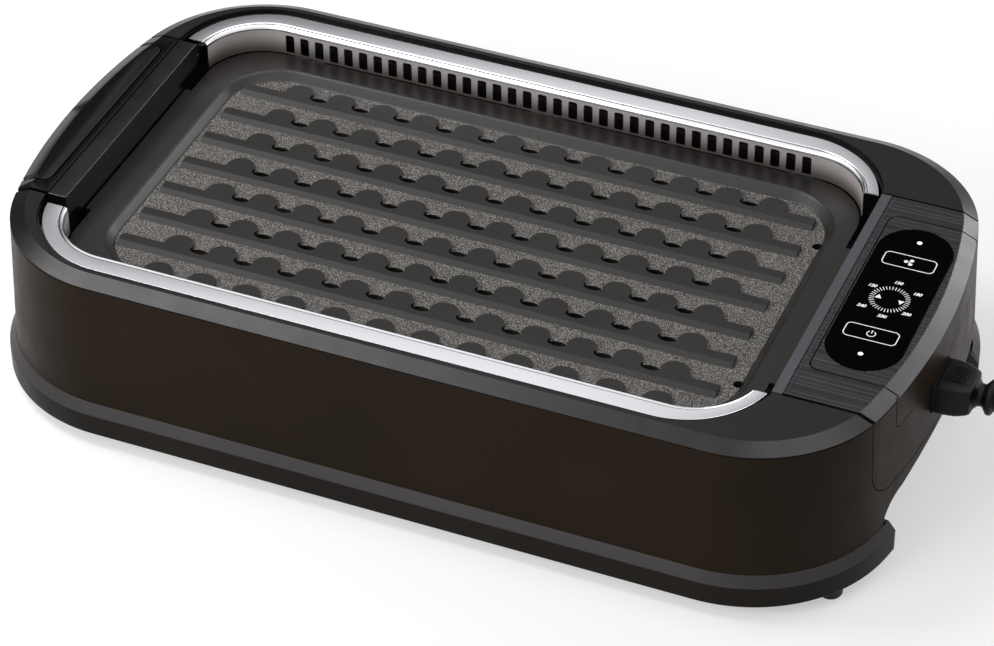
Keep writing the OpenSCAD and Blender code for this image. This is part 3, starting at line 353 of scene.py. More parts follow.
def tube(name, route, radius, resolution):
    """Round tube along a line of points, as a curve."""
    data = bpy.data.curves.new(name, "CURVE")
    data.dimensions = "3D"
    data.bevel_depth = radius * MM
    data.bevel_resolution = resolution
    data.use_fill_caps = True
    spline = data.splines.new("POLY")
    spline.points.add(len(route) - 1)
    for point, place in zip(spline.points, route):
        point.co = (*(Vector(place) * MM), 1)
    return linked(name, data)


def fit(obj, material, body="base", replaces=()):
    """Gives a piece its material, its body and the nodes that it stands for."""
    obj.data.materials.clear()
    obj.data.materials.append(material)
    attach(obj, body)
    if replaces:
        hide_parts(*replaces)
    return obj


# ---- materials
def nodes_of(name):
    mat = bpy.data.materials.new(name)
    mat.use_nodes = True
    return mat, mat.node_tree, mat.node_tree.nodes["Principled BSDF"]


def feed(tree, socket, value):
    """Links a socket to another one, or sets it to a value."""
    if isinstance(value, bpy.types.NodeSocket):
        tree.links.new(value, socket)
    else:
        socket.default_value = value


def wire(tree, node, **inputs):
    """Feeds sockets of a node; a name has _ for each space."""
    for key, value in inputs.items():
        feed(tree, node.inputs[key.replace("_", " ")], value)
    return node


def add(tree, kind, **inputs):
    return wire(tree, tree.nodes.new(kind), **inputs)


def coords(tree, scale=(1, 1, 1), source="Object"):
    """Coordinates in metres, stretched by scale."""
    place = add(tree, "ShaderNodeTexCoord").outputs[source]
    return add(tree, "ShaderNodeMapping", Vector=place, Scale=scale).outputs["Vector"]


def noise(tree, vector, scale, detail=3, rough=0.5):
    node = add(tree, "ShaderNodeTexNoise", Vector=vector, Scale=scale, Detail=detail, Roughness=rough)
    return node.outputs["Fac"]


def ramp(tree, value, low, high, ends=(0.3, 0.7)):
    """Colour from low to high while value crosses ends; a number stands for a grey."""
    node = add(tree, "ShaderNodeValToRGB", Fac=value)
    for element, place, colour in zip(node.color_ramp.elements, ends, (low, high)):
        element.position = place
        element.color = (*colour, 1) if isinstance(colour, tuple) else (colour, colour, colour, 1)
    return node.outputs["Color"]


def bump(tree, height, strength, distance):
    return add(tree, "ShaderNodeBump", Height=height, Strength=strength, Distance=distance).outputs["Normal"]


def span(tree, value, low, high, out_low, out_high):
    """Smooth change from out_low to out_high while value goes from low to high."""
    node = add(tree, "ShaderNodeMapRange", Value=value, From_Min=low, From_Max=high,
               To_Min=out_low, To_Max=out_high)
    node.interpolation_type = "SMOOTHSTEP"
    return node.outputs["Result"]


def calc(tree, operation, *values):
    """Result of a math node on sockets and numbers."""
    node = tree.nodes.new("ShaderNodeMath")
    node.operation = operation
    for socket, value in zip(node.inputs, values):
        feed(tree, socket, value)
    return node.outputs["Value"]


def blend(tree, factor, a, b):
    """a where factor is nought, b where it is one."""
    return add(tree, "ShaderNodeMix", Factor=factor, A=a, B=b).outputs["Result"]


def darker(colour, share):
    return tuple(c * share for c in colour)


def moulded(name, dark, light, rough, grain, depth, specular):
    """Moulded plastic: fine satin grain, slow colour change and a little uneven gloss."""
    mat, tree, shader = nodes_of(name)
    where = coords(tree)
    wire(tree, shader, Base_Color=ramp(tree, noise(tree, where, 9, 2), dark, light),
         Roughness=ramp(tree, noise(tree, where, 60, 4), *rough),
         Normal=bump(tree, noise(tree, where, grain, 2, 0.6), 0.5, depth), Specular_IOR_Level=specular)
    return mat


def streaked(name, dark, light, specular, rough):
    """Moulded plastic with a wood-like grain: fine streaks along X."""
    mat, tree, shader = nodes_of(name)
    streaks = noise(tree, coords(tree, (30, 900, 300)), 1.0, 4, 0.6)
    wire(tree, shader, Base_Color=ramp(tree, streaks, dark, light), Normal=bump(tree, streaks, 0.4, 0.00012),
         Roughness=rough, Specular_IOR_Level=specular)
    return mat


def satin(name, low, high):
    """Steel sheet with a blasted face; its colour is painted darker towards the bottom, a painted reflection of
    the dark plate below it.
    """
    mat, tree, shader = nodes_of(name)
    height = add(tree, "ShaderNodeSeparateXYZ", Vector=coords(tree)).outputs["Z"]
    # Painted reflection: the colour darkens from the top of the wall down to the plate.
    painted_reflection_rise = span(tree, height, (Z_BORDER + 1) * MM, (Z_TRIM - 4) * MM, 0, 1)
    spots = noise(tree, coords(tree, (60, 60, 900)), 1.0)
    wire(tree, shader, Base_Color=ramp(tree, painted_reflection_rise, low, high, (0, 1)), Roughness=ramp(tree, spots, 0.42, 0.54),
         Metallic=0.45)
    return mat


def brushed(name, colour, rough):
    """Steel sheet brushed along its length, which its UV map follows."""
    mat, tree, shader = nodes_of(name)
    lines = noise(tree, coords(tree, (18, 2600, 1), "UV"), 1.0, 4, 0.6)
    wire(tree, shader, Base_Color=ramp(tree, lines, darker(colour, 0.96), colour),
         Roughness=ramp(tree, lines, *rough), Normal=bump(tree, lines, 0.2, 0.00001), Metallic=1)
    return mat


def coated(name, dark, light, speck, speck_size, amount, rough):
    """Non-stick coating: fine light specks over a dark ground, slightly uneven."""
    mat, tree, shader = nodes_of(name)
    where = coords(tree)
    specks = ramp(tree, noise(tree, where, speck_size, 3, 0.65), 0, 1, (amount - 0.04, amount + 0.05))
    mix = tree.nodes.new("ShaderNodeMix")
    mix.data_type = "RGBA"
    wire(tree, mix, Factor=specks, A=ramp(tree, noise(tree, where, 14), dark, light), B=(*speck, 1))
    wire(tree, shader, Base_Color=mix.outputs["Result"], Roughness=rough, Specular_IOR_Level=0.35,
         Normal=bump(tree, noise(tree, where, speck_size * 0.8), 0.35, 0.00008))
    return mat


def plain_metal(name, colour, rough, grain):
    """Plated or pressed metal with faint mottling."""
    mat, tree, shader = nodes_of(name)
    mottle = noise(tree, coords(tree), grain)
    wire(tree, shader, Base_Color=ramp(tree, mottle, darker(colour, 0.82), colour),
         Roughness=ramp(tree, mottle, rough * 0.8, rough * 1.2), Metallic=1)
    return mat


def glossy(name, colour, rough, specular):
    """Gloss panel with faint dust."""
    mat, tree, shader = nodes_of(name)
    dust = noise(tree, coords(tree), 240, 5, 0.7)
    wire(tree, shader, Base_Color=ramp(tree, dust, colour, tuple(c + 0.0006 for c in colour), (0.55, 0.8)),
         Roughness=ramp(tree, dust, rough, rough * 2, (0.4, 0.8)), Specular_IOR_Level=specular)
    return mat


def printed(name, colour, glow):
    """White print with a painted glow, or a lit indicator that glows."""
    mat, tree, shader = nodes_of(name)
    wire(tree, shader, Base_Color=ramp(tree, noise(tree, coords(tree), 2600, 2), darker(colour, 0.93), colour),
         Roughness=0.5, Emission_Color=(*colour, 1), Emission_Strength=glow)
    return mat


SATIN_GRAIN = ((0.36, 0.46), 1500, 0.00003)  # roughness, grains in a metre, their depth in metres
BODY = moulded("body_plastic", (0.0125, 0.0072, 0.0034), (0.0185, 0.011, 0.0054), *SATIN_GRAIN, 0.07)
SKIRT = moulded("skirt_plastic", (0.0065, 0.0045, 0.0028), (0.01, 0.0072, 0.0048), *SATIN_GRAIN, 0.1)
# Lighter colour for the skirt's sloped ledge: a painted highlight where the slope catches the light.
LEDGE_PAINTED_HIGHLIGHT = moulded("skirt_ledge_painted_highlight", (0.034, 0.03, 0.031), (0.045, 0.04, 0.041), *SATIN_GRAIN, 0.2)
RIM = moulded("rim_plastic", (0.004, 0.0034, 0.004), (0.0068, 0.0058, 0.0068), (0.26, 0.34),
              1400, 0.00003, 0.34)
HANDLE = streaked("handle_plastic", (0.0015, 0.0013, 0.0015), (0.006, 0.0052, 0.0056), 0.2, 0.28)
PANEL = streaked("panel_plastic", (0.003, 0.0026, 0.0036), (0.02, 0.0178, 0.0225), 0.42, 0.34)
# The panel's chamfer: lighter colour as a painted highlight where the slope catches the light.
CHAMFER_PAINTED_HIGHLIGHT = moulded("panel_chamfer_painted_highlight", (0.024, 0.022, 0.027), (0.036, 0.033, 0.04), (0.28, 0.38), 900, 0.00006, 0.6)
SMOOTH = moulded("strip_plastic", (0.0035, 0.0028, 0.003), (0.006, 0.005, 0.0055), (0.14, 0.2),
                 1100, 0.00001, 0.5)
LIGHT_STRIP = moulded("light_strip_plastic", (0.056, 0.052, 0.06), (0.072, 0.067, 0.077), (0.3, 0.42),
                      1100, 0.00006, 0.5)
DARK = moulded("dark_moulding", 0.01, (0.016, 0.015, 0.015), (0.45, 0.55), 900, 0.00008, 0.35)
CORD_PLASTIC = moulded("cord_plastic", (0.0022, 0.0022, 0.0026), (0.005, 0.005, 0.0056), (0.36, 0.46),
                       1600, 0.00005, 0.15)
CORD_RUBBER = moulded("cord_rubber", 0.005, 0.009, (0.5, 0.62), 1200, 0.00006, 0.35)
FOOT = moulded("foot_rubber", (0.006, 0.0055, 0.005), (0.011, 0.01, 0.009), (0.55, 0.7), 900, 0.0001, 0.3)
WIRE = moulded("wire_insulation", (0.4, 0.015, 0.01), (0.52, 0.03, 0.02), (0.45, 0.6), 900, 0.00004, 0.4)
CERAMIC = moulded("ceramic", (0.62, 0.58, 0.5), (0.72, 0.68, 0.6), (0.5, 0.65), 700, 0.00008, 0.4)
BOARD = moulded("circuit_board", (0.006, 0.055, 0.02), (0.012, 0.085, 0.035), (0.3, 0.45), 500, 0.00003, 0.45)
PART = moulded("component_plastic", (0.008, 0.008, 0.009), (0.016, 0.016, 0.018), (0.4, 0.55),
               800, 0.00006, 0.4)
STEEL = brushed("stainless_trim", (0.8, 0.81, 0.84), (0.16, 0.21))
# Steel of the trims' walls, with a painted reflection: darker towards the bottom.
SATIN_PAINTED_REFLECTION = satin("stainless_wall_painted_reflection", (0.13, 0.11, 0.1), (0.66, 0.61, 0.6))
TUB = plain_metal("tub_steel", (0.42, 0.42, 0.43), 0.38, 300)
TRAY = coated("tray_coating", 0.01, 0.016, (0.05, 0.05, 0.05), 700, 0.66, 0.4)
ZINC = plain_metal("zinc_steel", (0.55, 0.56, 0.58), 0.32, 700)
BRASS = plain_metal("contact_brass", (0.72, 0.56, 0.28), 0.25, 600)
SHEATH = plain_metal("element_sheath", (0.22, 0.19, 0.17), 0.45, 240)
FAN = plain_metal("fan_aluminium", (0.68, 0.69, 0.7), 0.35, 400)
LAND = coated("plate_land", (0.013, 0.0115, 0.0105), (0.019, 0.017, 0.0152), (0.034, 0.032, 0.029),
              1500, 0.7, 0.36)
CHANNEL = coated("plate_channel", (0.022, 0.02, 0.018), (0.036, 0.033, 0.03), (0.34, 0.325, 0.31),
                 1500, 0.54, 0.5)
GLASS = glossy("touch_panel", (0.0012, 0.0012, 0.0013), 0.07, 0.01)
# The print glows though it is not lit: a painted glow.
PRINT_PAINTED_GLOW = printed("panel_print_painted_glow", (0.86, 0.87, 0.88), 0.25)
LIGHT = printed("light_lens", (0.95, 0.96, 0.98), 0.6)

# ---- power lead
CORD_D = 6.5
COIL_GAP = 0.45
COIL_MID_R = 36
COIL_TURNS = 3.25
LAYER_TURNS = 2
LAY_Z = 3.85
# Middle of the lead in (x, z), from the strain relief down to the floor
RUN = [(345, 76), (352, 76), (358, 75.5), (364, 74), (369, 71.5), (374, 68), (378, 63.5), (381, 58), (383, 52),
       (384, 46), (385, 40), (386, 34), (388, 28), (391, 22), (395, 16), (400, 11), (406, 7), (413, 4.6),
       (420, 3.9), (426, 3.85), (433, 3.85)]
# Height of the tail over its start at every step
TAIL_STEP = 7
TAIL_RISE = [0, 0, 0, -0.4, -1.6, -3.4, -5.2, -6.4, -6.9, -6.9, -6.2, -4.6, -2.6, -0.9, 0, 0.2, 0.2]
COIL_STEPS = 36
COIL_PITCH = CORD_D + COIL_GAP
COIL_OUTER = COIL_MID_R + COIL_PITCH
COIL_CX = RUN[-1][0] + CORD_D
COIL_CY = INLET_Y - COIL_OUTER


def coil_point(t):
    """Point of the coil after t turns: in along the lower layer, out along the upper."""
    r = COIL_OUTER - COIL_PITCH * (t if t < LAYER_TURNS else 2 * LAYER_TURNS - t)
    s = min(1, max(0, (t - LAYER_TURNS + 0.25) * 2))
    a = 2 * math.pi * t
    return (COIL_CX + r * math.sin(a), COIL_CY + r * math.cos(a), LAY_Z + COIL_PITCH * s * s * (3 - 2 * s))


def make_cord():
    """One curve along the run, the coil and the tail."""
    coil = [coil_point(i / COIL_STEPS) for i in range(1, int(COIL_TURNS * COIL_STEPS) + 1)]
    x, y, z = coil[-1]
    tail = [(x, y - CORD_D - TAIL_STEP * i, z + rise) for i, rise in enumerate(TAIL_RISE)]
    route = [(x, INLET_Y, z) for x, z in RUN] + coil + tail
    lead = tube("power_lead", route, CORD_D / 2, 5)
    return fit(lead, CORD_RUBBER, replaces=["cord_run", "cord_coil", "cord_tail"]), route


lead, lead_route = make_cord()

# ---- end outlines in (y, z)
CAP_FOOT = 53
CAP_HALF = HANDLE_HALF + 1
CAP_CORNER = 20
APRON_FOOT = 89
APRON_HALF = INSERT_HALF - 1.5
APRON_CORNER = 4
ARCH_HALF = GRIP_HALF + 6.5
ARCH_SIDE_W = 21.5
ARCH_SIDE_H = Z_GRIP - Z_BODY - 7
ARCH_RISE = 7


def cap_outline(gap):
    r, h, z = CAP_CORNER - gap, CAP_HALF - CAP_CORNER, CAP_FOOT + CAP_CORNER
    return ([(CAP_HALF - gap, Z_WALL + 5), (-CAP_HALF + gap, Z_WALL + 5)]
            + arc(-h, z, r, 180, 270, 16) + arc(h, z, r, 270, 360, 16))


def insert_outline(gap, shift=0):
    """Insert seen from the end: the bevelled top piece and the apron under it."""
    r, h, z = APRON_CORNER - gap, APRON_HALF - APRON_CORNER, APRON_FOOT + APRON_CORNER
    top = INSERT_HALF - gap
    return ([(APRON_HALF - gap, Z_WALL + 0.3), (shift + top, Z_WALL + 0.9), (shift + top, Z_TOP + 2),
             (shift - top, Z_TOP + 2), (shift - top, Z_WALL + 0.9), (gap - APRON_HALF, Z_WALL + 0.3)]
            + arc(-h, z, r, 180, 270, 8) + arc(h, z, r, 270, 360, 8))


def arch_outline():
    """Recess in the body wall: a shallow crown with drawn-down sides."""
    crown_half = ARCH_HALF - ARCH_SIDE_W
    crown_r = (crown_half ** 2 + ARCH_RISE ** 2) / (2 * ARCH_RISE)
    crown_a = math.degrees(math.asin(crown_half / crown_r)) * 0.9
    side = [(crown_half + y, z) for y, z in arc(0, 0, 1, 0, 90, 14)]
    right = [(crown_half + ARCH_SIDE_W * (y - crown_half), Z_BODY + ARCH_SIDE_H * z) for y, z in side]
    crown = arc(0, Z_GRIP - crown_r, crown_r, 90 - crown_a, 90 + crown_a, 28)
    left = [(-y, z) for y, z in right[::-1]]
    return [(ARCH_HALF, Z_BASE - 1)] + right + crown + left + [(-ARCH_HALF, Z_BASE - 1)]


# ---- body wall and skirt
WALL_TOP = Z_WALL - 0.35


def wall_band(name, z0, z1):
    """The body's wall between two heights, a closed ring with rounded edges."""
    corners = [(lean(z0), z0), (lean(z1), z1), (lean(z1) + WALL, z1), (lean(z0) + WALL, z0)]
    return band(name, round_profile(corners, [0.2, 0.8, 0.2, 0.2]))


def make_body_wall():
    wall = wall_band("body_shell", Z_BODY + 0.05, WALL_TOP)
    at_both_ends(wall, end_prism("cap_cut", cap_outline(0)))
    at_both_ends(wall, end_prism("arch_cut", arch_outline()))
    soften(wall, 0.45)
    fit(wall, BODY, replaces=["body_wrap"])


def make_skirt():
    """Skirt with its sloped ledge, floor and the two hand recesses; the ledge is given a lighter colour, a
    painted highlight.
    """
    out = -DRAFT - SKIRT_OUT
    outer = [(out + 0.7, Z_BASE), (out + 0.2, Z_BASE + 0.25), (out, Z_BASE + 0.8), (out, Z_SKIRT - 0.9),
             (out + 0.1, Z_SKIRT - 0.3), (out + 0.45, Z_SKIRT + 0.35), (-DRAFT - 0.25, Z_BODY - 0.1),
             (-DRAFT + 0.1, Z_BODY)]
    skirt = loft("skirt", outer)
    z_in = Z_BASE + WALL
    boolean(skirt, loft("inside", [(out + WALL, z_in), (out + WALL, Z_SKIRT), (WALL - DRAFT, Z_BODY + 1)]))
    half = GRIP_HALF + WALL
    at_both_ends(skirt, block("recess", GRIP_X - WALL, PAST, -half, half, Z_BASE - 1, Z_BODY + 1))
    boolean(skirt, prism("cover_hole", round_rect(*COVER), Z_BASE - 1, z_in + 1))
    pocket = soften(make_pocket(), 0.6)
    twin = mirrored(pocket, "recess_left")
    soften(skirt, 0.35)
    ledge = prism("cover_ledge", round_rect(*COVER, -RABBET), z_in - 0.5, z_in + 2)
    boolean(ledge, prism("ledge_hole", round_rect(*COVER, RABBET), z_in - 1, z_in + 3))
    join(skirt, ledge)
    fit(skirt, SKIRT, replaces=["base_skirt"])
    # The sloped ledge faces take the lighter colour, a painted highlight.
    skirt.data.materials.append(LEDGE_PAINTED_HIGHLIGHT)
    for face in skirt.data.polygons:
        if 0.3 < face.normal.z < 0.98 and Z_SKIRT - 1 < face.center.z / MM < Z_BODY:
            face.material_index = 1
    fit(pocket, DARK)
    fit(twin, DARK)


def make_pocket():
    """Walls and roof of a hand recess, closed against the skirt and the body wall."""
    half, roof, r = GRIP_HALF, Z_GRIP, 8
    pocket = block("recess_right", GRIP_X - WALL, PAST, -half - WALL, half + WALL, Z_BASE, roof + WALL)
    room = ([(-half, Z_BASE - 1), (half, Z_BASE - 1)] + arc(half - r, roof - r, r, 0, 90, 8)
            + arc(r - half, roof - r, r, 90, 180, 8))
    boolean(pocket, end_prism("room", room, GRIP_X, PAST + 10))
    out = -DRAFT - SKIRT_OUT
    low = loft("low", [(out + 0.3, Z_BASE - 1), (out + 0.3, Z_SKIRT), (-DRAFT + 0.3, Z_BODY - 0.2),
                       (lean(Z_BODY) + WALL + 0.4, Z_BODY), (lean(roof + 5) + WALL + 0.4, roof + 5)])
    return boolean(pocket, low, "INTERSECT")


# ---- end caps
def make_cap(name, node, inlet):
    cap = wall_band(name, CAP_FOOT - 3, WALL_TOP)
    boolean(cap, end_prism("cap_shape", cap_outline(SEAM)), "INTERSECT")
    boolean(cap, end_prism("apron_cut", insert_outline(-SEAM)))
    if inlet:
        hole = rounded_box(INLET_Y, INLET_Z, INLET_W + 2 * SLIP, INLET_H + 2 * SLIP, 3, 6)
        boolean(cap, end_prism("inlet_cut", hole))
    soften(cap, 0.45)
    fit(cap if inlet else flipped(cap, name), BODY, replaces=[node])


# ---- rim, handles and strips
TRIM_X0 = -243
TRIM_X1 = 204
TRIM_HALF = 138.5
TRIM_R = 55
GROOVE = 3
LEDGE_IN = 8
SHEET = 0.8
END_GAP = 1.3
RIM_FOOT = 101
INSERT_FOOT = 88
GLASS_BED = 110
KEPT_LEDGE = 2.7  # from the inner edge of a strip to the ledge under it


def mouth(inset):
    """The rim's inner edge under the trims, drawn in by inset."""
    return round_rect(TRIM_X0 - GROOVE, TRIM_X1 + GROOVE, TRIM_HALF - LEDGE_IN, TRIM_R - LEDGE_IN, inset)


def rim_levels(z0):
    """Outer shape of the bevelled top frame, from z0 up."""
    lip = Z_WALL + 0.15
    return [(WALL + 0.4, z0), (WALL + 0.4, lip), (0.3, lip), (0, lip + 0.3), (0, lip + 0.5), (BEVEL_W, Z_TOP)]


def make_rim():
    rim = loft("rim", rim_levels(RIM_FOOT))
    groove = round_rect(TRIM_X0 - GROOVE, TRIM_X1 + GROOVE, TRIM_HALF + GROOVE, TRIM_R + GROOVE)
    boolean(rim, prism("groove", groove, Z_TRIM - SHEET - 0.05, Z_TOP + 1))
    lower = prism("ledge", mouth(0), RIM_FOOT - 1, Z_TOP + 1)
    for x0, x1 in ((-PAST, STRIP_LEFT[1] - KEPT_LEDGE), (STRIP_RIGHT[0] + KEPT_LEDGE, PAST)):
        boolean(lower, block("keep", x0, x1, -HANDLE_HALF, HANDLE_HALF, Z_BORDER, Z_LEDGE))
    boolean(rim, lower)
    for handle_half, x0, x1 in ((HANDLE_HALF_LEFT, -PAST, STRIP_LEFT[1] + 1),
                                (HANDLE_HALF, STRIP_RIGHT[0] - 1, PAST)):
        half = handle_half + END_GAP
        boolean(rim, block("end_cut", x0, x1, -half, half, Z_LEDGE, Z_TOP + 1))
    soften(rim, 0.5, 2, 20)
    fit(rim, RIM, replaces=["top_rim"])


INSERT_GAP = 4.6
INSERT_CORNER = 6
BEAD_W = 1.9
GRAIN_PITCH = 3.3
GRAIN_DEPTH = 0.45
GRAIN_FLARE = 0.35  # how much wider a groove is over the top
GRAIN_X = (190, PAST + 10)


def insert_plan(x_in, gap, shift):
    """Plan of an insert, rounded at its inner corners; gap grows it, shift moves it along Y."""
    x0, half, r = x_in - gap, INSERT_HALF + gap, INSERT_CORNER + gap
    line = ([(PAST, -half), (PAST, half)] + arc(x0 + r, half - r, r, 90, 180, 10)
            + arc(x0 + r, r - half, r, 180, 270, 10))
    return [(x, y + shift) for x, y in line]


def grain_cutter(half):
    """Narrow grooves along X across the flat top of a handle, uneven in width and pitch."""
    grooves, y, k = [], -half + 1.2, 0
    while y < half - 1:
        w = 0.42 + 0.16 * math.sin(k * 2.4) + 0.1 * math.sin(k * 5.1)
        section = [(y - w - GRAIN_FLARE, Z_TOP + 0.5), (y + w + GRAIN_FLARE, Z_TOP + 0.5), (y + w, Z_TOP),
                   (y, Z_TOP - GRAIN_DEPTH), (y - w, Z_TOP)]
        grooves.append(end_prism("grain", section, *GRAIN_X))
        y += GRAIN_PITCH + 0.5 * math.sin(k * 1.7)
        k += 1
    return join(*grooves)


def three_faces(obj, chamfer):
    """The flat top keeps the first material; the chamfer and the wall under it get their own. On the panel the
    chamfer's colour is lighter, a painted highlight.
    """
    obj.data.materials.append(chamfer)
    obj.data.materials.append(BODY)
    for face in obj.data.polygons:
        if face.center.z / MM < Z_WALL + 0.4:
            face.material_index = 2
        # Chamfer faces: on the panel these get the lighter colour, a painted highlight.
        elif face.normal.z < 0.97 and abs(face.normal.y) < 0.5 and abs(face.normal.x) > 0.2:
            face.material_index = 1


def make_handle(name, x_in, half, shift=0):
    """Outer part of a handle with the pocket for its insert, built at the right end. Only the panel's pocket
    is shifted, and only its top is grained."""
    handle = loft(name, rim_levels(Z_LEDGE + 0.05))
    boolean(handle, block("reach", x_in, PAST, FRONT_GAP - half, half, RIM_FOOT, Z_TOP + 1), "INTERSECT")
    bead = x_in + BEAD_W
    boolean(handle, block("line", bead, bead + SEAM, -half - 1, half + 1, Z_TOP - 0.6, Z_TOP + 1))
    pocket = insert_plan(x_in + INSERT_GAP + SEAM, INSERT_SEAM, shift)
    boolean(handle, prism("pocket", pocket, Z_LEDGE + 2, Z_TOP + 1))
    boolean(handle, block("apron_room", x_in + 2 * INSERT_GAP, PAST, -APRON_HALF - SEAM, 0,
                          Z_LEDGE + 2, Z_WALL + 1.1))
    soften(handle, 0.35, 2, 20)
    return shade(boolean(handle, grain_cutter(half)), 8) if shift else handle


def make_insert(name, x_in, shift=0):
    """Insert of a handle: bevelled top and apron in one piece, built at the right end. Only the panel's is
    shifted, grained and cut for the glass."""
    foot, low = INSERT_FOOT, INSERT_FOOT - 1
    insert = loft(name, [(lean(foot), foot), (0, Z_WALL + 0.2), (0, Z_WALL + 0.65), (BEVEL_W, Z_TOP)])
    boolean(insert, loft("hollow", [(lean(low) + WALL, low), (WALL, Z_LEDGE + 2.1)]))
    boolean(insert, end_prism("from_end", insert_outline(0, shift), x_in + 2), "INTERSECT")
    shape = prism("from_above", insert_plan(x_in + INSERT_GAP + SEAM, 0, shift), Z_LEDGE, Z_TOP + 1)
    lower = block("lower", x_in + INSERT_GAP, PAST, -INSERT_HALF, INSERT_HALF, low, Z_WALL + 0.7)
    boolean(shape, lower, "UNION")
    boolean(insert, shape, "INTERSECT")
    if shift:
        pocket = stadium("glass_pocket", GLASS_W + 2 * SLIP, GLASS_L + 2 * SLIP, GLASS_BED, Z_TOP + 1)
        boolean(insert, pocket)
    soften(insert, 0.35, 2, 20)
    return shade(boolean(insert, grain_cutter(INSERT_HALF + shift)), 8) if shift else insert


def stadium(name, width, length, z0, z1):
    """Upright prism with round ends about the glass's middle."""
    r = width / 2
    half = length / 2 - r
    outline = arc(GLASS_X, PANEL_Y + half, r, 0, 180, 36) + arc(GLASS_X, PANEL_Y - half, r, 180, 360, 36)
    return prism(name, outline, z0, z1)


def make_handles():
    right, left = STRIP_RIGHT[1] + SEAM, SEAM - STRIP_LEFT[0]
    # The panel's chamfer takes the lighter colour, a painted highlight.
    for obj, node in ((make_handle("panel_frame", right, HANDLE_HALF, PANEL_Y), "handle_right"),
                      (make_insert("panel_insert_skin", right, PANEL_Y), "panel_insert")):
        three_faces(fit(obj, PANEL, replaces=[node]), CHAMFER_PAINTED_HIGHLIGHT)
    for obj, name, node in ((make_handle("frame_copy", left, HANDLE_HALF_LEFT), "handle_frame", "handle_left"),
                            (make_insert("insert_copy", left), "handle_insert", "grip_left")):
        three_faces(fit(flipped(obj, name), HANDLE, replaces=[node]), HANDLE)


def make_strip(name, node, x_in, x_out, half, material):
    """Smooth strip at an end of the well, with its wall down to the plate."""
    x_back = x_in + math.copysign(STRIP_WALL, x_out - x_in)
    strip = block(name, min(x_in, x_out), max(x_in, x_out), -half, half, Z_LEDGE + 0.05, Z_TOP)
    wall = block("wall", min(x_in, x_back), max(x_in, x_back), -HANDLE_HALF, HANDLE_HALF,
                 Z_BORDER + 0.3, Z_LEDGE + 1)
    boolean(wall, prism("mouth", mouth(SLIP), Z_BORDER, Z_TOP), "INTERSECT")
    boolean(strip, wall, "UNION")
    soften(strip, 0.7, 3)
    fit(strip, material, replaces=[node])


# ---- steel trims
FLANGE = 11.4
ROLL_R = 3.1
SLOT_DROP = 4.9
WALL_IN = FLANGE + ROLL_R
INNER_X0 = -229.5
INNER_X1 = 194.5
INNER_R = 38
SLOTS = 35
SLOT_PITCH = 9.95
SLOT_W = 5.9
SLOT_H = 12.5
SLOT_R = 1.4
SLOT_MID = (TRIM_X0 + TRIM_X1) / 2
TRIM_CUT = HANDLE_HALF + SLIP
TRIM_CUT_LEFT = HANDLE_HALF_LEFT + TRIM_GAP_LEFT
ARC_STEPS = 28
STRAIGHT_STEPS = 40


def trim_path(inset, side):
    """Line of the trim at an inset from its outer edge, from the right end round to the left end."""
    mix = lambda a, b: a + (b - a) * inset / WALL_IN
    r = mix(TRIM_R, INNER_R)
    cy = TRIM_HALF - inset - r
    cut_angle = lambda cut: math.degrees(math.asin((cut - cy) / r))
    right = arc(mix(TRIM_X1, INNER_X1) - r, cy, r, cut_angle(TRIM_CUT), 90, ARC_STEPS)
    left = arc(mix(TRIM_X0, INNER_X0) + r, cy, r, 90, 180 - cut_angle(TRIM_CUT_LEFT), ARC_STEPS)
    (xa, ya), (xb, yb) = right[-1], left[0]
    run = [(xa + (xb - xa) * i / STRAIGHT_STEPS, ya) for i in range(1, STRAIGHT_STEPS)]
    return [(x, y * side) for x, y in right + run + left]


def trim_section():
    """Section of the sheet as (inset, z): lipped outer edge, flange, fine step, rolled inner edge, wall."""
    roll = [(FLANGE + ROLL_R * math.sin(t), Z_TRIM - ROLL_R + ROLL_R * math.cos(t))
            for t in (math.pi / 2 * i / 10 for i in range(1, 11))]
    edge = [(0, 0.75), (0.02, 0.4), (0.15, 0.12), (0.5, 0), (FLANGE - 1.5, 0), (FLANGE - 0.9, 0.12),
            (FLANGE - 0.5, 0.4), (FLANGE + 0.1, 0.3)]
    face = [(inset, Z_TRIM - drop) for inset, drop in edge] + roll[1:]
    face += [(WALL_IN, Z_TRIM - ROLL_R - 5), (WALL_IN, Z_BORDER + 0.5)]
    back = [(WALL_IN - SHEET, Z_BORDER + 0.5), (WALL_IN - SHEET, Z_TRIM - ROLL_R)]
    back += [(i - SHEET * math.sin(t), z - SHEET * math.cos(t)) for (i, z), t in
             zip(roll[::-2], (math.pi / 2 * k / 10 for k in range(10, 0, -2)))][1:]
    return face + back + [(FLANGE - 2, Z_TRIM - SHEET), (0.6, Z_TRIM - SHEET)]


def slot_cutter():
    """The smoke slots, with round upper corners, through the wall of the back trim."""
    y, top, w, r = TRIM_HALF - WALL_IN, Z_TRIM - SLOT_DROP, SLOT_W / 2, SLOT_R
    cutters = []
    for k in range(SLOTS):
        x = SLOT_MID + (k - (SLOTS - 1) / 2) * SLOT_PITCH
        face = [(x - w, top - SLOT_H), (x + w, top - SLOT_H)] + arc(x + w - r, top - r, r, 0, 90, 5)
        face += arc(x - w + r, top - r, r, 90, 180, 5)
        cutters.append(skin("slot", [[(px, y + dy, pz) for px, pz in face] for dy in (-3, 4)]))
    return join(*cutters)


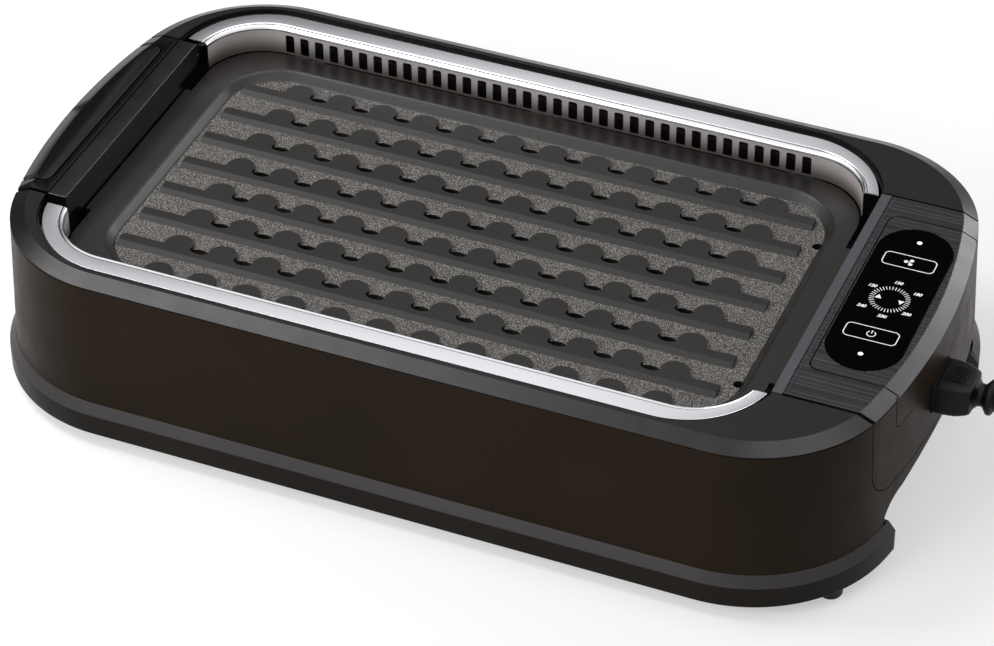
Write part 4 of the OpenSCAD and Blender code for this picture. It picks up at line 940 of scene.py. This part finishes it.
def make_trim(name, node, side):
    """Front (side -1) or back (side 1) trim; the back one has the smoke slots."""
    section = trim_section()
    lines = [trim_path(inset, side) for inset, _ in section]
    rings = [[(*line[i], z) for line, (_, z) in zip(lines, section)] for i in range(len(lines[0]))]
    trim = skin(name, rings)
    if side > 0:
        boolean(trim, slot_cutter())
    add_brush_uv(trim, side)
    shade(trim, 40)
    fit(trim, STEEL, replaces=[node])
    # The walls take the steel with the painted reflection, darker towards the bottom.
    trim.data.materials.append(SATIN_PAINTED_REFLECTION)
    for face in trim.data.polygons:
        if abs(face.normal.z) < 0.3 and face.center.z / MM < Z_TRIM - ROLL_R:
            face.material_index = 1


def add_brush_uv(obj, side):
    """Gives each point its distance along the trim and its place across it, in metres, for the brushing."""
    cx0, cx1 = TRIM_X0 + TRIM_R, TRIM_X1 - TRIM_R
    cy = TRIM_HALF - TRIM_R
    r = TRIM_R - WALL_IN / 2
    layer = obj.data.uv_layers.new(name="UVMap")
    for loop in obj.data.loops:
        x, y, z = obj.data.vertices[loop.vertex_index].co / MM
        y *= side
        if x > cx1:
            a = math.atan2(y - cy, x - cx1)
            along, across = cx1 + r * (math.pi / 2 - a), math.hypot(x - cx1, y - cy)
        elif x < cx0:
            a = math.atan2(y - cy, cx0 - x)
            along, across = cx0 - r * (math.pi / 2 - a), math.hypot(x - cx0, y - cy)
        else:
            along, across = x, y - cy
        layer.data[loop.index].uv = (along * MM, (across + z) * MM)


# ---- grill plate
PLATE = (-228.5, 193.5, 123, 37)  # as x0, x1, half depth and corner radius
BORDER_T = 3
TAB_HALF = 66
TAB_X = (-232.5, 203.5)
WELL = (-212, 183, 109, 38)
HUMP_H = 10.5
HUMP_HALF = 9
HUMP_PITCH = 28
ROW_PITCH = 27.5
LAND_DEPTH = 17
LAND_SLOPE = 3
LAND_H = 2.5
LAND_X = (WELL[0] + 9, WELL[1] - 15)
FIRST_ROW = -81.5
ROWS = 7
HOLE_L = 12
HOLE_W = 7
NOTCH_IN = 9.5
DRAIN_Y = 68
HUMPS = [HUMP_PITCH * k for k in range(math.ceil((LAND_X[0] + HUMP_HALF) / HUMP_PITCH),
                                       math.floor((LAND_X[1] - HUMP_HALF) / HUMP_PITCH) + 1)]


def land(y, depth, x0, x1):
    """Outline of a land: straight near edge, humps along the far one."""
    straight = y + depth - HUMP_H
    points = [(x0, y), (x1, y), (x1, straight)]
    for x in HUMPS[::-1]:
        points += [(x + HUMP_HALF * swell(math.cos(a), 0.9), straight + HUMP_H * math.sin(a) ** 0.8)
                   for a in (math.pi * i / 14 for i in range(15))]
    return points + [(x0, straight)]


def well_ring(inset, z):
    x0, x1, half, r = WELL
    return at(round_rect(x0 + inset, x1 - inset, half - inset, r - inset, 0, 24), z)


def make_plate():
    """Cast plate: flat border with end tabs, dished floor with drip holes, and raised lands."""
    plate = prism("cast_plate", round_rect(*PLATE, 0, 24), Z_BORDER - BORDER_T, Z_BORDER)
    boolean(plate, block("tabs", *TAB_X, -TAB_HALF, TAB_HALF, Z_BORDER - BORDER_T, Z_BORDER), "UNION")
    pan = skin("pan", [well_ring(2, Z_UNDER), well_ring(-0.5, Z_UNDER + 1), well_ring(-2.5, Z_BORDER - 2)])
    boolean(plate, pan, "UNION")
    well = skin("well", [well_ring(6.5, Z_FLOOR), well_ring(5.4, Z_FLOOR + 0.25), well_ring(4.4, Z_FLOOR + 1),
                         well_ring(1.2, Z_BORDER - 1.2), well_ring(0.5, Z_BORDER - 0.4),
                         well_ring(-0.6, Z_BORDER - 0.02), well_ring(-1.2, Z_BORDER + 0.5)])
    boolean(plate, well)
    boolean(plate, drip_cutter())
    soften(plate, 0.35, 2, 40)
    fit(plate, LAND, "plate", replaces=["grill_plate"])
    plate.data.materials.append(CHANNEL)
    for face in plate.data.polygons:
        if face.normal.z > 0.9 and abs(face.center.z / MM - Z_FLOOR) < 1.2:
            face.material_index = 1
    make_lands()


def raised(y, depth, x0, x1):
    """One land: its straight side slopes down to the floor, its humps stand upright."""
    low = land(y - LAND_SLOPE, depth + LAND_SLOPE, x0, x1)
    top = land(y, depth, x0, x1)
    return skin("land", [at(low, Z_FLOOR - 0.5), at(low, Z_FLOOR), at(top, Z_FLOOR + LAND_H)])


def drip_cutter():
    """The drip hole behind each notch between two humps, and two drains at the right end."""
    cutters = []
    for row in range(-1, ROWS):
        y = FIRST_ROW + row * ROW_PITCH + LAND_DEPTH - NOTCH_IN
        for middle in (x + HUMP_PITCH / 2 for x in HUMPS[:-1]):
            hole = [(middle + dx, y + dy) for dx, dy in oval(HOLE_L, HOLE_W, 20, 1)]
            cutters.append(prism("hole", hole, Z_UNDER - 2, Z_FLOOR + 5))
    for y in (-DRAIN_Y, DRAIN_Y):
        cutters.append(prism("drain", circle(WELL[1] - 7, y, 3, 24), Z_UNDER - 2, Z_FLOOR + 5))
    return join(*cutters)


def make_lands():
    """The smooth raised lands, set into the floor; the near one runs into the well's front side."""
    front_y = 4 - WELL[2]
    side = HUMP_HALF + 1
    pieces = [raised(front_y, FIRST_ROW + LAND_DEPTH - ROW_PITCH - front_y, HUMPS[0] - side, HUMPS[-1] + side)]
    for row in range(ROWS):
        pieces.append(raised(FIRST_ROW + row * ROW_PITCH, LAND_DEPTH, *LAND_X))
    lands = join(*pieces)
    lands.name = "plate_lands"
    boolean(lands, drip_cutter())
    soften(lands, 0.9, 3, 50)
    fit(lands, LAND, "plate")


# ---- touch panel
GLASS_TOP = Z_TOP + 0.2
PRINT_Z = GLASS_TOP - 0.005  # just over the glass, which ends 0.01 lower than GLASS_TOP
LIGHT_Y = 54
BOX_W = 31
BOX_H = 12.4
BOX_R = 3.2
LINE_W = 0.55
LIGHT_R = 1.5
BOX_Y = 34.9
BOX_MID = 5.3
DIAL_MID = 3.6
LIGHT_MID = 5.6
DIAL_R = 11.7
TICKS = 37
DIAL_NUMBERS = (("120", -13, 8.6), ("150", 0, 16), ("180", 13, 10), ("200", 12.6, -9.3), ("220", 0.5, -16),
                ("240", -13, -11))
NUMBER_SIZE = 3.4
NUMBER_LEAN = 0.25
NUMBER_BOLD = 0.12


def flat(name, outlines):
    """Thin printed shapes on the glass; each outline is a list of (x, y), with x from the glass's middle."""
    points, faces = [], []
    for outline in outlines:
        base = len(points)
        points += [(GLASS_X + x, y, PRINT_Z) for x, y in outline]
        faces.append(tuple(range(base, base + len(outline))))
    return mesh_object(name, points, faces, smooth=False)


def ring_quads(path_out, path_in):
    """Quads between two closed outlines of the same length."""
    n = len(path_out)
    return [[path_out[i], path_out[(i + 1) % n], path_in[(i + 1) % n], path_in[i]] for i in range(n)]


def wedge(r0, r1, a, half0, half1):
    """A tick between two radii, with its half width in degrees at each."""
    pt = lambda r, d: (r * math.cos(math.radians(a + d)), r * math.sin(math.radians(a + d)))
    return [pt(r0, -half0), pt(r1, -half1), pt(r1, half1), pt(r0, half0)]


def dial_shapes():
    """A ring of ticks and two arrowheads, one up and one down."""
    shapes = [wedge(8.8, DIAL_R, 360 * k / TICKS, 1.0, 1.25) for k in range(TICKS)]
    for side in (-1, 1):
        x, y = 6.6 * side, -0.6 * side
        shapes.append([(x - 1.9, y + 1.6 * side), (x, y - 1.9 * side), (x + 1.9, y + 1.6 * side)][::side])
    return [[(x, y + DIAL_MID) for x, y in shape] for shape in shapes]


def power_symbol(cx, cy, r=2.7):
    """An open ring with a bar at its gap."""
    out, ins = (arc(cx, cy, q, 125, 415, 30) for q in (r, r - LINE_W))
    quads = [[out[i], out[i + 1], ins[i + 1], ins[i]] for i in range(len(out) - 1)]
    x0, x1, y0, y1 = cx - LINE_W / 2, cx + LINE_W / 2, cy + 0.4, cy + r + 0.5
    return quads + [[(x0, y0), (x1, y0), (x1, y1), (x0, y1)]]


def fan_symbol(cx, cy):
    """Three swept blades round a hub."""
    shapes = [arc(cx, cy, 0.55, 0, 345, 12)]
    for k in range(3):
        turn = math.radians(120 * k + 90)
        co, si = math.cos(turn), math.sin(turn)
        blade = arc(0, 1.95, 1.25, -60, 200, 12) + [(0.1, 0.7)]
        shapes.append([(cx + x * co - y * si, cy + x * si + y * co) for x, y in blade])
    return shapes


def number_object(text, cx, cy):
    """A number on the dial as a mesh."""
    curve = bpy.data.curves.new("number_" + text, "FONT")
    curve.body = text
    curve.size = NUMBER_SIZE * MM
    curve.shear = NUMBER_LEAN
    curve.offset = NUMBER_BOLD * MM
    curve.align_x, curve.align_y = "CENTER", "CENTER"
    obj = linked("number_" + text, curve)
    bpy.context.view_layer.update()
    mesh = bpy.data.meshes.new_from_object(obj.evaluated_get(bpy.context.evaluated_depsgraph_get()))
    bpy.data.objects.remove(obj)
    mesh.transform(Matrix.Translation(Vector((GLASS_X + cx, DIAL_MID + cy, PRINT_Z)) * MM))
    return linked("dial_number_" + text, mesh)


def make_touch_panel():
    glass = stadium("glass_skin", GLASS_W, GLASS_L, Z_TOP - 1.8, GLASS_TOP - 0.01)
    soften(glass, 0.25, 3)
    fit(glass, GLASS, replaces=["touch_glass"])
    near, far = BOX_MID - BOX_Y, BOX_MID + BOX_Y
    shapes = dial_shapes() + power_symbol(0, near) + fan_symbol(0, far)
    for cy in (near, far):
        shapes += ring_quads(rounded_box(0, cy, BOX_W, BOX_H, BOX_R),
                             rounded_box(0, cy, BOX_W - 2 * LINE_W, BOX_H - 2 * LINE_W, BOX_R - LINE_W))
    fit(flat("panel_marks", shapes), PRINT_PAINTED_GLOW)
    fit(join(*[number_object(*n) for n in DIAL_NUMBERS]), PRINT_PAINTED_GLOW)
    lamps = flat("panel_lamps", [circle(0, LIGHT_MID + s * LIGHT_Y, LIGHT_R, 24) for s in (-1, 1)])
    fit(lamps, LIGHT)


# ---- connector, plug and other small pieces
FACE_X = 277.2
GRIP_L = 20
COLLAR_X = FACE_X + GRIP_L + 5
EXIT_X = 345
RIB_ROWS = 9      # ribs along and across the connector's grip
RIB_PITCH = 1.35
FOOT_X = 251
FOOT_Y = 118
ELEMENT_R = 4


def along_x(name, sections):
    """Skin over ovals along X at the inlet's height: sections of (x, width, height, power)."""
    return skin(name, [[(x, INLET_Y + y, INLET_Z + z) for y, z in oval(w, h, 48, p)]
                       for x, w, h, p in sections])


def make_connector():
    """Moulded connector: blocky shoulders, tapered neck and a flared collar, with a ribbed grip on top."""
    f, c = FACE_X, COLLAR_X
    body = along_x("connector_body", [
        (f, 29, 20, 0.3), (f + 0.5, 30, 21, 0.3), (f + 5, 30, 21.4, 0.3), (f + 12, 28.6, 20.4, 0.3),
        (f + 17, 25.5, 18.8, 0.34), (f + 19.2, 23.5, 17.6, 0.4), (f + 20, 17, 15, 0.6), (c - 3, 13.5, 13.5, 1),
        (c - 0.5, 13, 13, 1), (c + 0.8, 16, 16, 1), (c + 2.6, 20.6, 20.6, 1), (c + 3.4, 21, 21, 1),
        (c + 4.6, 20.8, 20.8, 1), (c + 5.4, 19.6, 19.6, 1), (c + 6.4, 15.5, 15.5, 1), (c + 8, 13.6, 13.6, 1)])
    soften(body, 0.3)
    nose = block("nose", f - 18, f + 1, INLET_Y - 14.8, INLET_Y + 14.8, INLET_Z - 9.3, INLET_Z + 9.3)
    soften(nose, 1.2, 3)
    join(body, nose, *grip_ribs())
    return fit(body, CORD_PLASTIC, replaces=["connector"])


def grip_ribs():
    """Rows of small blunt pyramids on the connector's rounded back, narrower and lower towards the neck."""
    ribs = []
    for k in range(RIB_ROWS):
        x = FACE_X + 4.2 + RIB_PITCH * k
        width = 15 - 0.5 * max(0, k - 4)
        top = INLET_Z + 11.3 - 0.055 * max(0, k - 3) ** 2
        for y in (INLET_Y + (j - (RIB_ROWS - 1) / 2) * width / RIB_ROWS for j in range(RIB_ROWS)):
            ribs.append(skin("rib", [[(x + a * sx, y + b * sy, top + rise)
                                      for sx, sy in ((-1, -1), (1, -1), (1, 1), (-1, 1))]
                                     for a, b, rise in ((0.55, 0.6, -0.8), (0.25, 0.3, 0.18))]))
    return ribs


def make_relief():
    """Tapered strain relief with raised rings."""
    x0, x1, rings = COLLAR_X + 8.05, EXIT_X - 0.02, 6
    pitch = (x1 - x0 - 6) / rings
    sections = [(x0, 13, 13, 1)]
    for k in range(rings):
        d = 13.4 - 0.75 * k
        for dx, grow in ((0.8, -1.6), (1.2, -0.1), (1.6, 0), (pitch - 1.2, -0.3), (pitch - 0.8, -0.5),
                         (pitch - 0.4, -2.2)):
            sections.append((x0 + pitch * k + dx, d + grow, d + grow, 1))
    sections += [(x1 - 5, 8.8, 8.8, 1), (x1 - 0.6, 8.0, 8.0, 1), (x1, 7.4, 7.4, 1)]
    relief = shade(along_x("strain_relief", sections), 40)
    return fit(relief, CORD_PLASTIC, replaces=["cord_relief"])


def make_plug():
    """Grounded plug on the floor at the end of the lead."""
    end = Vector(lead_route[-1])
    taper, length = 16, 30
    sections = [(0, 8.1, 8.1, 1), (3, 8.6, 8.6, 1), (4, 9.6, 9.6, 1), (7, 9.8, 9.8, 1), (8, 8.9, 8.9, 1),
                (10, 10.4, 10.4, 1), (13, 10.8, 10.8, 1), (taper, 11.6, 11.6, 0.9), (taper + 5, 17, 15, 0.7),
                (taper + 9, 22, 18.5, 0.6), (taper + 14, 24.8, 20.8, 0.55), (taper + 22, 25, 21, 0.5),
                (taper + length - 1.2, 25, 21, 0.5), (taper + length - 0.3, 24.4, 20.4, 0.5),
                (taper + length, 23, 19, 0.5)]
    plug = skin("plug_body", [[(end.x + x, end.y - y, end.z + z) for x, z in oval(w, h, 40, p)]
                              for y, w, h, p in sections])
    shade(plug, 40)
    return fit(plug, CORD_PLASTIC, replaces=["mains_plug"])


def make_tie():
    """Strap round the strands at the far side of the coil."""
    tie = linked("coil_strap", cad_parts["cord_tie"].data.copy())
    return fit(tie, CORD_RUBBER, replaces=["cord_tie"])


def make_feet():
    rings = [(5.2, 0.0), (6.3, 0.35), (6.9, 1.3), (7, 2.4), (7, 7.9), (3, 7.95), (3, 11)]
    feet = join(*[skin("foot", [at(circle(sx * FOOT_X, sy * FOOT_Y, r, 48), z) for r, z in rings])
                  for sx in (-1, 1) for sy in (-1, 1)])
    feet.name = "foot_pads"
    shade(feet)
    fit(feet, FOOT, replaces=["feet"])


def make_element():
    """Sheathed heating tube in a serpentine under the plate."""
    z, bend, inner, outer = Z_UNDER - 0.3 - ELEMENT_R, 16, 25, 75
    x0, x1 = WELL[0] + 24, WELL[1] - 30
    plug_x, pin_y = TAB_X[1] - 10, 22
    half = (arc(x1 - 60 - bend, inner - bend, bend, 0, 90, 10)
            + arc(x0 + bend, inner + bend, bend, 270, 180, 10)
            + arc(x0 + bend, outer - bend, bend, 180, 90, 10) + arc(x1 - bend, outer - bend, bend, 90, 0, 10)
            + arc(x1 + bend, pin_y + bend, bend, 180, 270, 10) + [(plug_x - 7.2, pin_y)])
    heater = tube("heating_tube", at([(x, -y) for x, y in half[::-1]] + half, z), ELEMENT_R, 4)
    fit(heater, SHEATH, "plate", replaces=["heating_element"])


# Nodes that show as they are in the CAD
NODE_MATERIALS = {
    "bottom_cover": DARK, "cover_screws": ZINC, "post_screws": ZINC, "rim_posts": DARK, "inner_tub": TUB,
    "smoke_duct": DARK, "drip_tray": TRAY, "element_clips": ZINC, "heater_plug": CERAMIC,
    "heater_pins": BRASS, "heater_socket": CERAMIC, "temp_sensor": ZINC, "power_board": BOARD,
    "touch_board": BOARD, "board_parts": PART, "board_brackets": ZINC, "status_lights": LIGHT,
    "inlet_socket": PART, "inlet_pins": BRASS, "fan_housing": DARK, "fan_motor": ZINC, "fan_impeller": FAN,
    "wiring": WIRE, "plug_blades": BRASS}


def finish_nodes():
    for name, material in NODE_MATERIALS.items():
        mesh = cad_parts[name].data
        mesh.materials.clear()
        mesh.materials.append(material)


make_body_wall()
make_skirt()
make_cap("cap_skin_right", "cap_right", True)
make_cap("cap_skin_left", "cap_left", False)
make_rim()
make_handles()
make_strip("strip_skin_left", "strip_left", *STRIP_LEFT[::-1], HANDLE_HALF_LEFT, SMOOTH)
make_strip("strip_skin_right", "strip_right", *STRIP_RIGHT, HANDLE_HALF, LIGHT_STRIP)
make_trim("trim_skin_front", "trim_front", -1)
make_trim("trim_skin_back", "trim_back", 1)
make_plate()
make_touch_panel()
connector = make_connector()
relief = make_relief()
plug = make_plug()
tie = make_tie()
make_feet()
make_element()
finish_nodes()

# ---- floor, world and lamps
FLOOR_SIZE = 12
FLOOR_COLOUR = (0.62, 0.62, 0.63, 1)
FLOOR_LIFT = 0.45   # glow of the floor where it is looked at
WORLD_LIGHT = 0.42  # level of the light that the room gives
# What surfaces mirror, by direction. Behind: a dark card up to a slanting edge, lighter past it
CARD_LIGHT = 0.03
PAST_CARD = 1.2
CARD_SLANT = 1.7
CARD_EDGE = (0.56, 0.69)   # of x + CARD_SLANT * z
FALL_X = (-0.262, -0.212)  # right of this only CARD_RIGHT of it is left
CARD_RIGHT = 0.3
CLEAR_X = (-0.05, 0.25)    # right of this it is white
BEHIND_Y = (0.1, 0.4)      # behind is farther back than this
BEHIND_Z = (0.84, 0.74)    # and lower than this
# Elsewhere: white, with a bright patch high over the right
OVER_LIGHT = 3.0
OVER_X = (-0.15, 0.15)
OVER_Z = (0.72, 0.88)
# Name, place, aim, size in metres and power in watts
LAMPS = (("key", (-0.6, -1.2, 0.95), (0, 0, 0.05), (0.9, 0.5), 9),
         ("over_left", (-0.86, -0.15, 1.35), (0, 0, 0.05), (0.6, 0.9), 10.5),
         ("back_right", (0.94, 1.28, 0.6), (0.2, 0, 0.1), (0.8, 0.5), 7.5))


def make_floor():
    bpy.ops.mesh.primitive_plane_add(size=FLOOR_SIZE, location=(0, 0, -0.0002))
    floor = bpy.context.object
    floor.name = "floor"
    mat, tree, shader = nodes_of("floor")
    wire(tree, shader, Base_Color=FLOOR_COLOUR, Roughness=1, Specular_IOR_Level=0)
    rays = add(tree, "ShaderNodeLightPath").outputs
    looked_at = calc(tree, "MAXIMUM", calc(tree, "MAXIMUM", rays["Is Camera Ray"], rays["Is Glossy Ray"]),
                     rays["Is Transmission Ray"])
    glow = add(tree, "ShaderNodeEmission", Strength=calc(tree, "MULTIPLY", looked_at, FLOOR_LIFT))
    both = add(tree, "ShaderNodeAddShader")
    for socket, part in zip(both.inputs, (shader, glow)):
        feed(tree, socket, part.outputs[0])
    wire(tree, tree.nodes["Material Output"], Surface=both.outputs[0])
    floor.data.materials.append(mat)


def make_world():
    """White for the camera, one level as light, and a card and a bright patch for what mirrors it."""
    world = bpy.data.worlds.new("studio")
    world.use_nodes = True
    bpy.context.scene.world = world
    tree = world.node_tree
    way = add(tree, "ShaderNodeTexCoord").outputs["Generated"]
    x, y, z = add(tree, "ShaderNodeSeparateXYZ", Vector=way).outputs
    slant = calc(tree, "MULTIPLY_ADD", z, CARD_SLANT, x)
    card = calc(tree, "MULTIPLY", span(tree, slant, *CARD_EDGE, CARD_LIGHT, PAST_CARD),
                span(tree, x, *FALL_X, 1, CARD_RIGHT))
    behind = blend(tree, span(tree, x, *CLEAR_X, 0, 1), card, 1.0)
    patch = calc(tree, "MULTIPLY", span(tree, x, *OVER_X, 0, 1), span(tree, z, *OVER_Z, 0, 1))
    over = blend(tree, patch, 1.0, OVER_LIGHT)
    is_behind = calc(tree, "MULTIPLY", span(tree, y, *BEHIND_Y, 0, 1), span(tree, z, *BEHIND_Z, 0, 1))
    rays = add(tree, "ShaderNodeLightPath").outputs
    level = blend(tree, rays["Is Glossy Ray"], WORLD_LIGHT, blend(tree, is_behind, over, behind))
    for ray in ("Is Camera Ray", "Is Transmission Ray"):
        level = blend(tree, rays[ray], level, 1.0)
    wire(tree, tree.nodes["Background"], Color=(1, 1, 1, 1), Strength=level)


def make_lamp(name, place, aim, size, watts):
    data = bpy.data.lights.new(name, "AREA")
    data.shape = "RECTANGLE"
    data.size, data.size_y = size
    data.energy = watts
    obj = linked(name, data)
    obj.location = place
    obj.rotation_euler = (Vector(aim) - Vector(place)).to_track_quat("-Z", "Y").to_euler()


make_floor()
make_world()
for lamp in LAMPS:
    make_lamp(*lamp)

scene = bpy.context.scene
scene.view_settings.view_transform = "Standard"
